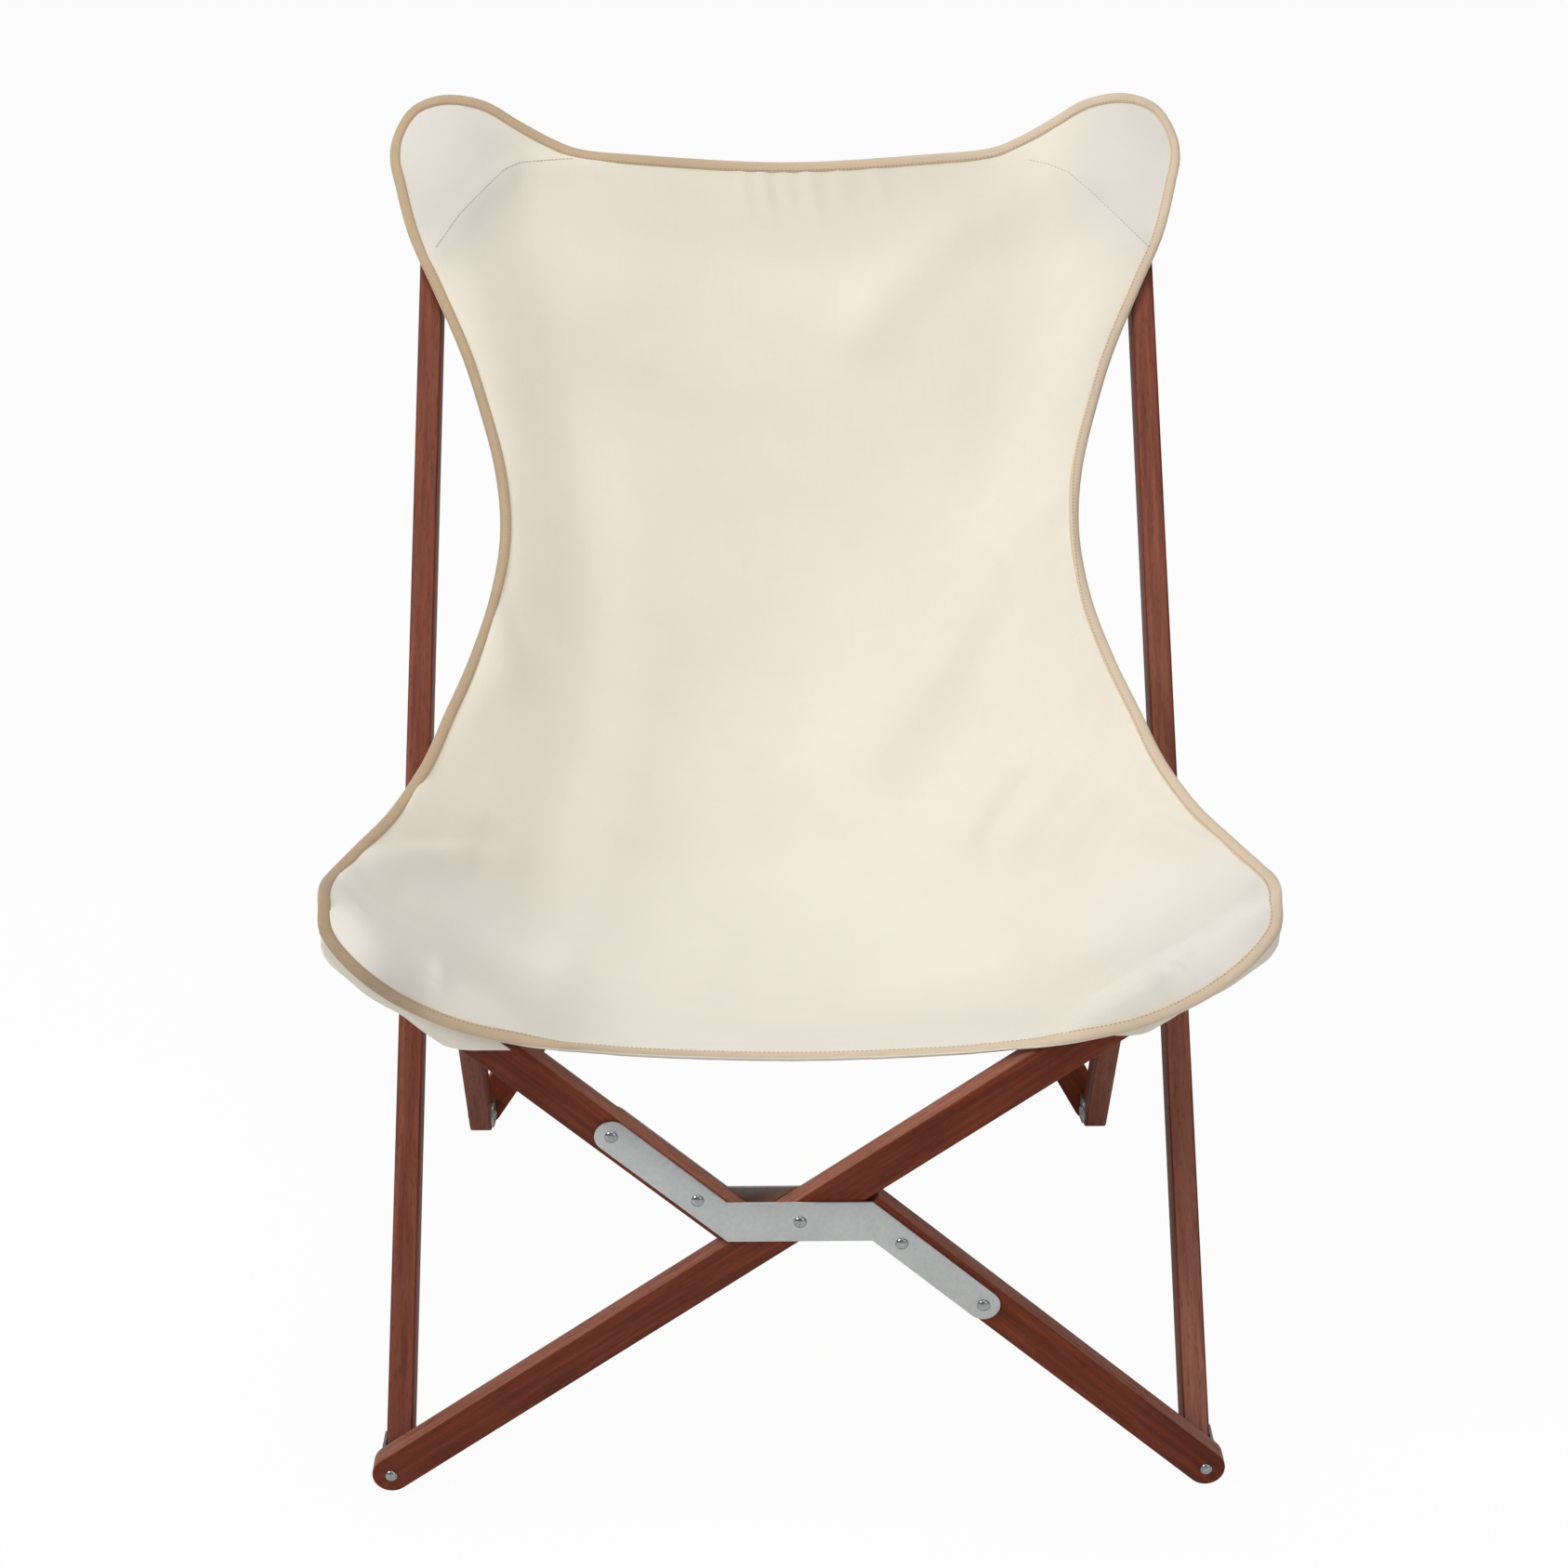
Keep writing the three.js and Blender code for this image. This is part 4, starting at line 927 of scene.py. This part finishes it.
def fold_heights(patch):
    pixels = view_pixels(patch)
    lift = np.zeros(patch.shape[:2])
    for *line, height in FOLDS:
        lift = np.maximum(lift, height * fold_shape(pixels, *line))
    # The edges, where the tape holds the cloth, stay put.
    j = np.minimum(np.arange(DOWN + 1), DOWN - np.arange(DOWN + 1))[:, None]
    i = np.minimum(np.arange(ACROSS + 1), ACROSS - np.arange(ACROSS + 1))[None]
    return lift * smoothstep(np.minimum(j, i), 0, EDGE_CELLS)


def soft_spots(points, spots):
    """The sum of some soft spots at each point of the cloth."""
    pixels = view_pixels(points)
    tone = np.zeros(pixels.shape[:-1])
    for x, y, wide, high, much in spots:
        far = np.hypot((pixels[..., 0] - x) / wide, (pixels[..., 1] - y) / high)
        tone += much * (1 - smoothstep(far, *SPOT_FADE))
    return np.minimum(tone, 1)


def edge_walk():
    """Grid places round the cloth's edge, left to right along the top first."""
    walk = [(0, i) for i in range(ACROSS)]
    walk += [(j, ACROSS) for j in range(DOWN)]
    walk += [(DOWN, i) for i in range(ACROSS, 0, -1)]
    walk += [(j, 0) for j in range(DOWN, 0, -1)]
    return walk


def cloth_uv(patch):
    """Flat cloth coordinates in metres, measured along the rows and the middle column."""
    along = np.linalg.norm(np.diff(patch, axis=1), axis=2)
    u = np.concatenate([np.zeros((patch.shape[0], 1)), np.cumsum(along, axis=1)], 1)
    u -= u[:, u.shape[1] // 2][:, None]
    v = run_lengths(patch[:, patch.shape[1] // 2])[:, None] + 0 * u
    return np.stack([u, v], -1) * MM


def close_sheet(outer, inner):
    """A thin solid from two matching grids of points."""
    rows, columns = outer.shape[:2]
    index = np.arange(rows * columns).reshape(rows, columns)
    shift = rows * columns
    quads = np.stack([index[:-1, :-1], index[1:, :-1], index[1:, 1:], index[:-1, 1:]], -1).reshape(-1, 4)
    faces = quads.tolist() + (quads[:, ::-1] + shift).tolist()
    rim = list(index[0, :-1]) + list(index[:-1, -1]) + list(index[-1, :0:-1]) + list(index[:0:-1, 0])
    for a, b in zip(rim, rim[1:] + rim[:1]):
        faces.append((int(a), int(b), int(b) + shift, int(a) + shift))
    return np.vstack([outer.reshape(-1, 3), inner.reshape(-1, 3)]), faces


def ride_sling(piece):
    """Hangs a piece on the sling's body, with a mesh of its own."""
    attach(piece, "sling")
    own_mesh(piece)


def build_canvas(patch, normals):
    half = normals * CANVAS_THICK / 2
    piece = make_piece("sling_canvas_cloth", *close_sheet(patch + half, patch - half), CANVAS)
    flat = cloth_uv(patch).reshape(-1, 2)
    store_uv(piece.data, np.vstack([flat, flat]))
    # pale greys the cloth; dimmed is painted shade, and painted light where it is below nought.
    for name, spots in (("pale", PALE), ("dimmed", PAINTED_SHADE_AND_LIGHT)):
        store_floats(piece.data, name, np.tile(soft_spots(patch, spots).ravel(), 2))
    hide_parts("sling_canvas")
    return piece, flat


def edge_frame(patch, normals):
    """Edge points with the way in from the edge, out of the cloth, and along."""
    walk = edge_walk()
    points = np.array([patch[p] for p in walk])
    out = np.array([normals[p] for p in walk])
    along = unit(np.roll(points, -1, 0) - np.roll(points, 1, 0))
    return points, unit(np.cross(along, out)), out, along


def ring_smooth(values, turns):
    for _ in range(turns):
        values = 0.5 * values + 0.25 * (np.roll(values, 1, 0) + np.roll(values, -1, 0))
    return values


# The tape's section: way in from the edge and height, from the seam on top to the outer edge.
TAPE_SECTION = [(TAPE_WIDTH, 1.15), (8.9, 1.75), (7.6, 2.2), (5.6, 2.6), (3.4, 2.7), (1.5, 2.2),
                (0.35, 1.2), (0, 0)]
# The tape's small unevenness: its share of the height, and two wave lengths along the edge.
TAPE_WAVE, TAPE_WAVE_SHORT, TAPE_WAVE_LONG = 0.05, 4.1, 23.0
# The tape is cut on the bias, so its weave lies aslant.
TAPE_BIAS = np.array([[0.7071, 0.7071], [-0.7071, 0.7071]])
# Painted light: the tape gets paler from left to right, most of it within this distance of the middle.
TAPE_LIGHT_FADE = 150.0
STITCH_PITCH, STITCH_INWARD, STITCH_HEIGHT = 3.4, 8.1, 2.0


def build_binding(patch, normals):
    """Folded tape: a soft flat roll round the edge, drawn in where the seam holds it."""
    points, inward, out, along = edge_frame(patch, normals)
    inward = unit(ring_smooth(inward, 10))
    out = ring_smooth(out, 10)
    out = unit(out - inward * np.sum(inward * out, axis=1, keepdims=True))
    section = TAPE_SECTION + [(a, -h) for a, h in TAPE_SECTION[-2::-1]]
    run = run_lengths(points)
    wave = 1 + TAPE_WAVE * np.sin(run / TAPE_WAVE_SHORT) * np.sin(run / TAPE_WAVE_LONG)
    rings = np.stack([points + inward * a + out * (h * wave)[:, None] for a, h in section], 1)
    count, sides = rings.shape[:2]
    index = np.arange(count * sides).reshape(count, sides)
    after = np.roll(index, -1, 0)
    faces = []
    for q in range(sides):
        r = (q + 1) % sides
        faces += np.stack([index[:, q], index[:, r], after[:, r], after[:, q]], -1).tolist()
    piece = make_piece("sling_binding_tape", rings.reshape(-1, 3), faces, TAPE)
    girth = run_lengths(np.array(section))
    store_uv(piece.data, np.stack([np.repeat(run, sides), np.tile(girth, count)], -1) * MM @ TAPE_BIAS)
    # Painted light: paler towards the right, a painted highlight along the front, and painted shade on the
    # left.
    tone = 0.5 + 0.5 * np.tanh(points[:, 0] / TAPE_LIGHT_FADE) + soft_spots(points, TAPE_PAINTED_HIGHLIGHT)
    store_floats(piece.data, "pale", np.repeat(np.minimum(tone, 1), sides))
    store_floats(piece.data, "dimmed", np.repeat(soft_spots(points, TAPE_PAINTED_SHADE), sides))
    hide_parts("sling_edge_binding")
    return piece, points, inward, out, along, run


def build_stitches(points, inward, out, along, run):
    """One row of stitches on each side of the tape."""
    total = run[-1] + float(np.linalg.norm(points[0] - points[-1]))
    lengths, stops = np.append(run, total), np.arange(0, total, STITCH_PITCH)
    points, inward, out, along = (at_lengths(np.vstack([rows, rows[:1]]), lengths, stops)
                                  for rows in (points, inward, out, along))
    spots = [points + inward * STITCH_INWARD + out * side * STITCH_HEIGHT for side in (1, -1)]
    return grow("sling_binding_stitches", stitch_tree(), np.vstack(spots),
                {"out": np.vstack([out, -out]), "run": np.vstack([along, along])}, {"Material": THREAD})


def cell_steps(grid, j, i):
    """Half the way between a grid point's neighbours, across and down."""
    return (grid[j, i + 1] - grid[j, i - 1]) / 2, (grid[j + 1, i] - grid[j - 1, i]) / 2


def on_cloth(patch, normals, spots):
    """Cloth points and normals under places in the photograph."""
    pixels = view_pixels(patch)
    found, outs = [], []
    for spot in spots:
        j, i = np.unravel_index(np.argmin(np.linalg.norm(pixels - spot, axis=2)), patch.shape[:2])
        j, i = min(max(j, 1), DOWN - 1), min(max(i, 1), ACROSS - 1)
        u, v = np.clip(np.linalg.solve(np.stack(cell_steps(pixels, j, i), 1), spot - pixels[j, i]), -1, 1)
        across, down = cell_steps(patch, j, i)
        found.append(patch[j, i] + u * across + v * down)
        outs.append(normals[j, i])
    return np.array(found), np.array(outs)


def build_seams(patch, normals):
    """The stitched lines that show where the top pockets are sewn on."""
    spots, outs, runs = [], [], []
    for path in SEAMS:
        path = np.array(path, float)
        lengths = run_lengths(path)
        stops = np.arange(0, lengths[-1], SEAM_PITCH)
        points, out = on_cloth(patch, normals, at_lengths(path, lengths, stops))
        spots.append(points + out * CANVAS_THICK / 2)
        outs.append(out)
        runs.append(np.gradient(points, axis=0))
    return grow("sling_corner_seams", stitch_tree(), np.vstack(spots),
                {"out": np.vstack(outs), "run": np.vstack(runs)},
                {"Material": SEAM_THREAD, "Half length": SEAM_STITCH_HALF * MM,
                 "Thread": SEAM_STITCH_THREAD * MM})


def build_sling():
    """The canvas, its tape and its stitches; gives back the cloth's middle surface."""
    patch = sling_patch()
    for _ in range(SETTLE_TURNS):
        patch = relax(push_clear(patch), EVEN_TURNS)
    patch = face_tips(ease_corners(push_clear(patch)))
    patch = push_clear(patch + surface_normals(patch) * fold_heights(patch)[..., None])
    normals = surface_normals(patch)
    canvas, flat = build_canvas(patch, normals)
    tape, *edge = build_binding(patch, normals)
    stitches = build_stitches(*edge)
    seams = build_seams(patch, normals)
    ride_sling(canvas)
    ride_sling(tape)
    ride_sling(stitches)
    ride_sling(seams)
    return patch


def pocket_piece(name, outer, inner, tone):
    """One pocket's cloth from its outer and inner grids of points."""
    points, faces = close_sheet(outer, inner)
    piece = make_piece(name + "_cloth", points, faces, CANVAS)
    middle = (outer + inner) / 2
    side = np.cross(middle[1, 0] - middle[0, 0], middle[0, 1] - middle[0, 0])
    if side @ (outer[0, 0] - inner[0, 0]) < 0:
        piece.data.flip_normals()
    flat = cloth_uv(middle).reshape(-1, 2)
    store_uv(piece.data, np.vstack([flat, flat]))
    store_floats(piece.data, "pale", np.full(len(points), tone))
    sharpen(piece.data, POCKET_CREASE)
    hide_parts(name)
    return piece


# Front sleeves: how far back from the stick's end the mouth lies in front, how it slants with height from
# the lowest point, how much further back it lies behind, and how far past the stick's end it goes.
SLEEVE_DEEP, SLEEVE_SLANT, SLEEVE_LOWEST, SLEEVE_BEHIND, SLEEVE_PAST = 104.0, 1.2, -23.0, 25.0, 14.5
# Height across the stick and distance to its front: from the front rim down, then up behind and over the top.
SLEEVE_FRONT = [(11.0, 13.0), (5.0, 13.4), (-1.0, 13.8), (-6.0, 14.0), (-12.0, 13.6), (-17.0, 12.4)]
SLEEVE_BACK = [(-17.0, -11.8), (-11.0, -11.5), (-4.0, -11.4), (4.0, -11.4), (9.0, -11.3), (13.0, -10.8)]
SLEEVE_TOP = [(15.9, -8.6), (16.1, -4.2), (16.1, 4.2), (15.9, 8.6), (15.4, 10.3), (14.0, 11.3), (12.7, 11.7)]
# The slack below the stick: its height, how deep and how wide it hangs, its share at the mouth, and the share
# of the way to the end where it is full.
SAG_HEIGHT, SAG_DEEP, SAG_WIDE, SAG_AT_MOUTH, SAG_FULL = -19.5, 4.0, 12.0, 0.35, 0.7
# Small waves in it: their share of the height, length along the stick, and turn from point to point.
SAG_WAVE, SAG_WAVE_LENGTH, SAG_WAVE_TURN = 0.05, 9.0, 0.9
# Points this near to the stick's middle plane get no wall to the front or back.
WALL_FROM = 4
# Near the end the sleeve draws in as an ellipse: below, from this far back and over this length; above,
# from the middle of the round end and over this length; and never to less than this share.
CLOSE_FROM, CLOSE_OVER, CLOSE_OVER_ABOVE, CLOSE_LEAST = 20.0, 36.0, 16.6, math.sqrt(0.05)
SLEEVE_TONE, TOP_POCKET_TONE = 0.35, 0.3


def sleeve_closing(height, past):
    """The share of its height that a sleeve's section keeps, so far past the middle of the round end."""
    taper = max(past + CLOSE_FROM, 0) / CLOSE_OVER if height < 0 else max(past, 0) / CLOSE_OVER_ABOVE
    return max(math.sqrt(max(1 - taper ** 2, 0)), CLOSE_LEAST)


def front_pocket(name, body, stick):
    """Sleeve under a seat corner: from the binding in front, slack below the stick, up behind and over it."""
    up = stick["across"] if stick["across"] @ FRONT_UP > 0 else -stick["across"]
    turns = np.linspace(0.1, math.pi - 0.1, 9)
    sag = [(SAG_HEIGHT - SAG_DEEP * math.sin(t), SAG_WIDE * math.cos(t)) for t in turns]
    before = len(SLEEVE_FRONT + sag)
    # Rows from the mouth to the stick's end, then two that close the sleeve past it: share of the way,
    # distance past the end and how open the row still is.
    steps = [(share, 0.0, 1.0) for share in np.linspace(0, 1, 24)] + [(1.0, 1.4, 0.6), (1.0, 2.0, 0.03)]
    outer, inner = [], []
    for share, past, shut in steps:
        outer.append([])
        inner.append([])
        for q, (height, front) in enumerate(SLEEVE_FRONT + sag + SLEEVE_BACK + SLEEVE_TOP):
            mouth = -SLEEVE_DEEP - (SLEEVE_SLANT * (height - SLEEVE_LOWEST) if q < before else SLEEVE_BEHIND)
            a = mouth + (SLEEVE_PAST - mouth) * share
            close = sleeve_closing(height, a)
            if height < -HALF_WIDTH:
                hang = SAG_AT_MOUTH + (1 - SAG_AT_MOUTH) * smoothstep(share, 0, SAG_FULL)
                height = -HALF_WIDTH + (height + HALF_WIDTH) * hang
            wave = SAG_WAVE * math.sin(a / SAG_WAVE_LENGTH + q * SAG_WAVE_TURN) if height < 0 else 0.0
            base = stick["origin"] + stick["along"] * (stick["end"] + a + past)
            for wall, rows in ((POCKET_WALL, outer), (0.0, inner)):
                high = height * close * (1 + wave) + math.copysign(wall, height) * (abs(height) > HALF_WIDTH)
                out = (front + math.copysign(wall, front) if abs(front) > WALL_FROM else front) * shut
                rows[-1].append(base + up * high - FRONT_BACK * out + stick["along"] * wall * (past > 0))
    piece = pocket_piece(name, np.array(outer), np.array(inner), SLEEVE_TONE)
    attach(piece, body)


# Top pockets, right side: where their seam along the cloth's edge starts and ends, how far in from the edge
# and behind the cloth it lies, and how many points the panel has along the seam and down from it.
POCKET_ENDS = ((190, 731, 884), (333, 657, 838))
POCKET_INSET, POCKET_BEHIND = 6.0, 2.0
POCKET_ALONG, POCKET_DOWN = 64, 26
# The panel clears what lies within this distance of a point, by this much; how often it is evened, and how
# much the row above its free edge counts.
POCKET_NEAR, POCKET_ROOM = 9.0, 2.6
POCKET_TURNS, POCKET_HEM = 900, 0.6
# How much of a back stick's and a side stick's end lies in a pocket, and how far the bracket stands out.
BACK_STICK_END, SIDE_STICK_END, BRACKET_OUT = 130.0, 60.0, 5.0
# Points that stand for them: pitch along a stick's end and number across it; across a rivet head; and up and
# back on a bracket's leg.
END_PITCH, END_ACROSS = 2.5, 9
HEAD_POINTS = (-3, 0, 3)
LEG_UP, LEG_BACK = (-12, -6, 0, 6, 12), (-10, 0, 8, 17)
FAR_AWAY = -1e9


def stick_end_points(name, reach):
    """Points on the wide faces of a stick's upper end."""
    stick = sticks[name]
    cloud = []
    for a in np.arange(stick["end"] - reach, stick["end"] + HALF_WIDTH + 0.1, END_PITCH):
        over = max(a - stick["end"], 0)
        half = math.sqrt(max(HALF_WIDTH ** 2 - over ** 2, 0))
        for w in np.linspace(-half, half, END_ACROSS):
            for t in (-HALF_THICK, HALF_THICK):
                cloud.append(stick["origin"] + stick["along"] * a + stick["across"] * w + stick["normal"] * t)
    return cloud


def top_obstacles(word, sign, back_stick):
    """Points of the stick ends, the rivet head and the bracket that a top pocket passes behind."""
    at = lambda x: vec(sign * x, TOP[1], TOP[2])
    head = at(FRONT_RIVET_X) + BACK_BACK * (BACK_LAYER + HALF_THICK + RIVET_RISE)
    leg = at(SIDE_PLANE + HALF_THICK + BRACKET_OUT)
    cloud = stick_end_points(back_stick, BACK_STICK_END) + stick_end_points("side_" + word, SIDE_STICK_END)
    cloud += [head + X_AXIS * dx for dx in HEAD_POINTS]
    cloud += [leg + BACK_UP * u + BACK_BACK * b for u in LEG_UP for b in LEG_BACK]
    return np.array(cloud)


def pocket_seam(patch, sign):
    """The seam of a top pocket, evenly spaced along the cloth's edge round the corner."""
    edge = np.array([patch[p] for p in edge_walk()])
    nearest = lambda ring, place: int(np.argmin(np.linalg.norm(ring - vec(sign, 1, 1) * place, axis=1)))
    ring = np.roll(edge, len(edge) // 2 - nearest(edge, TOP_EDGE[-1]), axis=0)
    first, last = sorted(nearest(ring, place) for place in POCKET_ENDS)
    run = ring[first:last + 1]
    lengths = run_lengths(run)
    seam = at_lengths(run, lengths, np.linspace(0, lengths[-1], POCKET_ALONG))
    return seam + unit((seam[0] + seam[-1]) / 2 - seam) * POCKET_INSET + BACK_BACK * POCKET_BEHIND


def top_pocket(name, word, sign, patch, back_stick):
    """Panel behind a top corner, sewn in at the binding and drawn taut over the stick's end."""
    seam = pocket_seam(patch, sign)
    mouth = seam[0] + (seam[-1] - seam[0]) * np.linspace(0, 1, POCKET_ALONG)[:, None]
    share = np.linspace(0, 1, POCKET_DOWN)[:, None, None]
    grid = seam * (1 - share) + mouth * share
    depth = grid @ BACK_BACK
    flat = grid - depth[..., None] * BACK_BACK
    cloud = top_obstacles(word, sign, back_stick)
    cloud_depth = cloud @ BACK_BACK
    cloud_flat = cloud - cloud_depth[:, None] * BACK_BACK
    need = np.full(depth.shape, FAR_AWAY)
    for k in range(POCKET_DOWN):
        far = np.linalg.norm(flat[k][:, None] - cloud_flat[None], axis=2)
        need[k] = np.where(far < POCKET_NEAR, cloud_depth[None], FAR_AWAY).max(axis=1) + POCKET_ROOM
    for _ in range(POCKET_TURNS):
        even = (depth[:-2, 1:-1] + depth[2:, 1:-1] + depth[1:-1, :-2] + depth[1:-1, 2:]) / 4
        depth[1:-1, 1:-1] = np.maximum(even, need[1:-1, 1:-1])
        hem = (depth[-1, :-2] + depth[-1, 2:] + POCKET_HEM * depth[-2, 1:-1]) / (2 + POCKET_HEM)
        depth[-1, 1:-1] = np.maximum(hem, need[-1, 1:-1])
    inner = flat + depth[..., None] * BACK_BACK
    piece = pocket_piece(name, inner + BACK_BACK * POCKET_WALL, inner, TOP_POCKET_TONE)
    ride_sling(piece)


def build_pockets(patch):
    for word, sign, front_body, front_stick, back_stick in (
            ("left", -1, "front_split", "front_cross_upper", "back_cross_upper"),
            ("right", 1, "front_straight", "front_cross_straight", "back_cross_straight")):
        front_pocket(f"front_pocket_{word}", front_body, sticks[front_stick])
        top_pocket(f"top_pocket_{word}", word, sign, patch, back_stick)


# Floor, light and camera.
# White light all round, for the camera and for the rest; the floor's half size in metres, its colour, and the
# share of it that the camera sees as plain white.
WORLD_SEEN, WORLD_LIGHT = 1.0, 0.26
FLOOR_HALF, FLOOR_GREY, FLOOR_GLOW = 12.0, 0.93, 0.95
# Lamps in metres and watts: place, size and power; all of them point at the seat.
LAMPS = {"key": ((-2.7, -1.6, 3.1), 1.6, 74.0), "fill": ((2.2, -2.9, 2.0), 2.6, 18.0),
         "top": ((0.2, -0.2, 3.8), 2.0, 38.0)}
LAMP_TARGET = (0, 0, 0.45)


def build_world():
    world = bpy.data.worlds.new("studio")
    bpy.context.scene.world = world
    world.use_nodes = True
    tree = world.node_tree
    back = tree.nodes["Background"]
    seen = tree.nodes.new("ShaderNodeLightPath").outputs["Is Camera Ray"]
    link(tree, scaled(tree, seen, WORLD_SEEN - WORLD_LIGHT, WORLD_LIGHT), back.inputs["Strength"])
    back.inputs["Color"].default_value = (1, 1, 1, 1)


def build_floor():
    mesh = bpy.data.meshes.new("floor")
    corners = [(x * FLOOR_HALF, y * FLOOR_HALF, 0) for x, y in ((-1, -1), (1, -1), (1, 1), (-1, 1))]
    mesh.from_pydata(corners, [], [(0, 1, 2, 3)])
    floor = bpy.data.objects.new("floor", mesh)
    bpy.context.collection.objects.link(floor)
    material = bpy.data.materials.new("white_floor")
    material.use_nodes = True
    tree = material.node_tree
    tree.nodes.remove(tree.nodes["Principled BSDF"])
    matte = tree.nodes.new("ShaderNodeBsdfDiffuse")
    matte.inputs["Color"].default_value = (FLOOR_GREY, FLOOR_GREY, FLOOR_GREY, 1)
    glow = tree.nodes.new("ShaderNodeEmission")
    glow.inputs["Strength"].default_value = 1.0
    mix = tree.nodes.new("ShaderNodeMixShader")
    seen = tree.nodes.new("ShaderNodeLightPath").outputs["Is Camera Ray"]
    link(tree, math_node(tree, "MULTIPLY", seen, FLOOR_GLOW), mix.inputs[0])
    link(tree, matte.outputs[0], mix.inputs[1])
    link(tree, glow.outputs[0], mix.inputs[2])
    link(tree, mix.outputs[0], tree.nodes["Material Output"].inputs["Surface"])
    mesh.materials.append(material)


def build_lamps():
    for name, (place, size, power) in LAMPS.items():
        lamp = bpy.data.lights.new(name, "AREA")
        lamp.energy = power
        lamp.size = size
        thing = bpy.data.objects.new(name, lamp)
        thing.location = place
        thing.rotation_euler = (Vector(LAMP_TARGET) - Vector(place)).to_track_quat("-Z", "Y").to_euler()
        bpy.context.collection.objects.link(thing)


def build_camera():
    data = bpy.data.cameras.new("photo_camera")
    data.sensor_fit = "HORIZONTAL"
    data.sensor_width = SENSOR_WIDTH
    data.lens = PHOTO_FOCAL / PHOTO_SIZE * SENSOR_WIDTH
    data.clip_start = 0.05
    camera = bpy.data.objects.new("photo_camera", data)
    turn = Matrix.Rotation(EYE_TURN, 4, "Z") @ Matrix.Rotation(math.pi / 2 - EYE_DOWN, 4, "X")
    camera.matrix_world = Matrix.Translation(Vector(to_metres(EYE).tolist())) @ turn
    bpy.context.collection.objects.link(camera)
    bpy.context.scene.camera = camera
    bpy.context.scene.view_settings.view_transform = "Standard"


build_camera()
build_world()
build_floor()
build_lamps()
build_frame()
build_rivets()
plate_brackets()
build_pockets(build_sling())

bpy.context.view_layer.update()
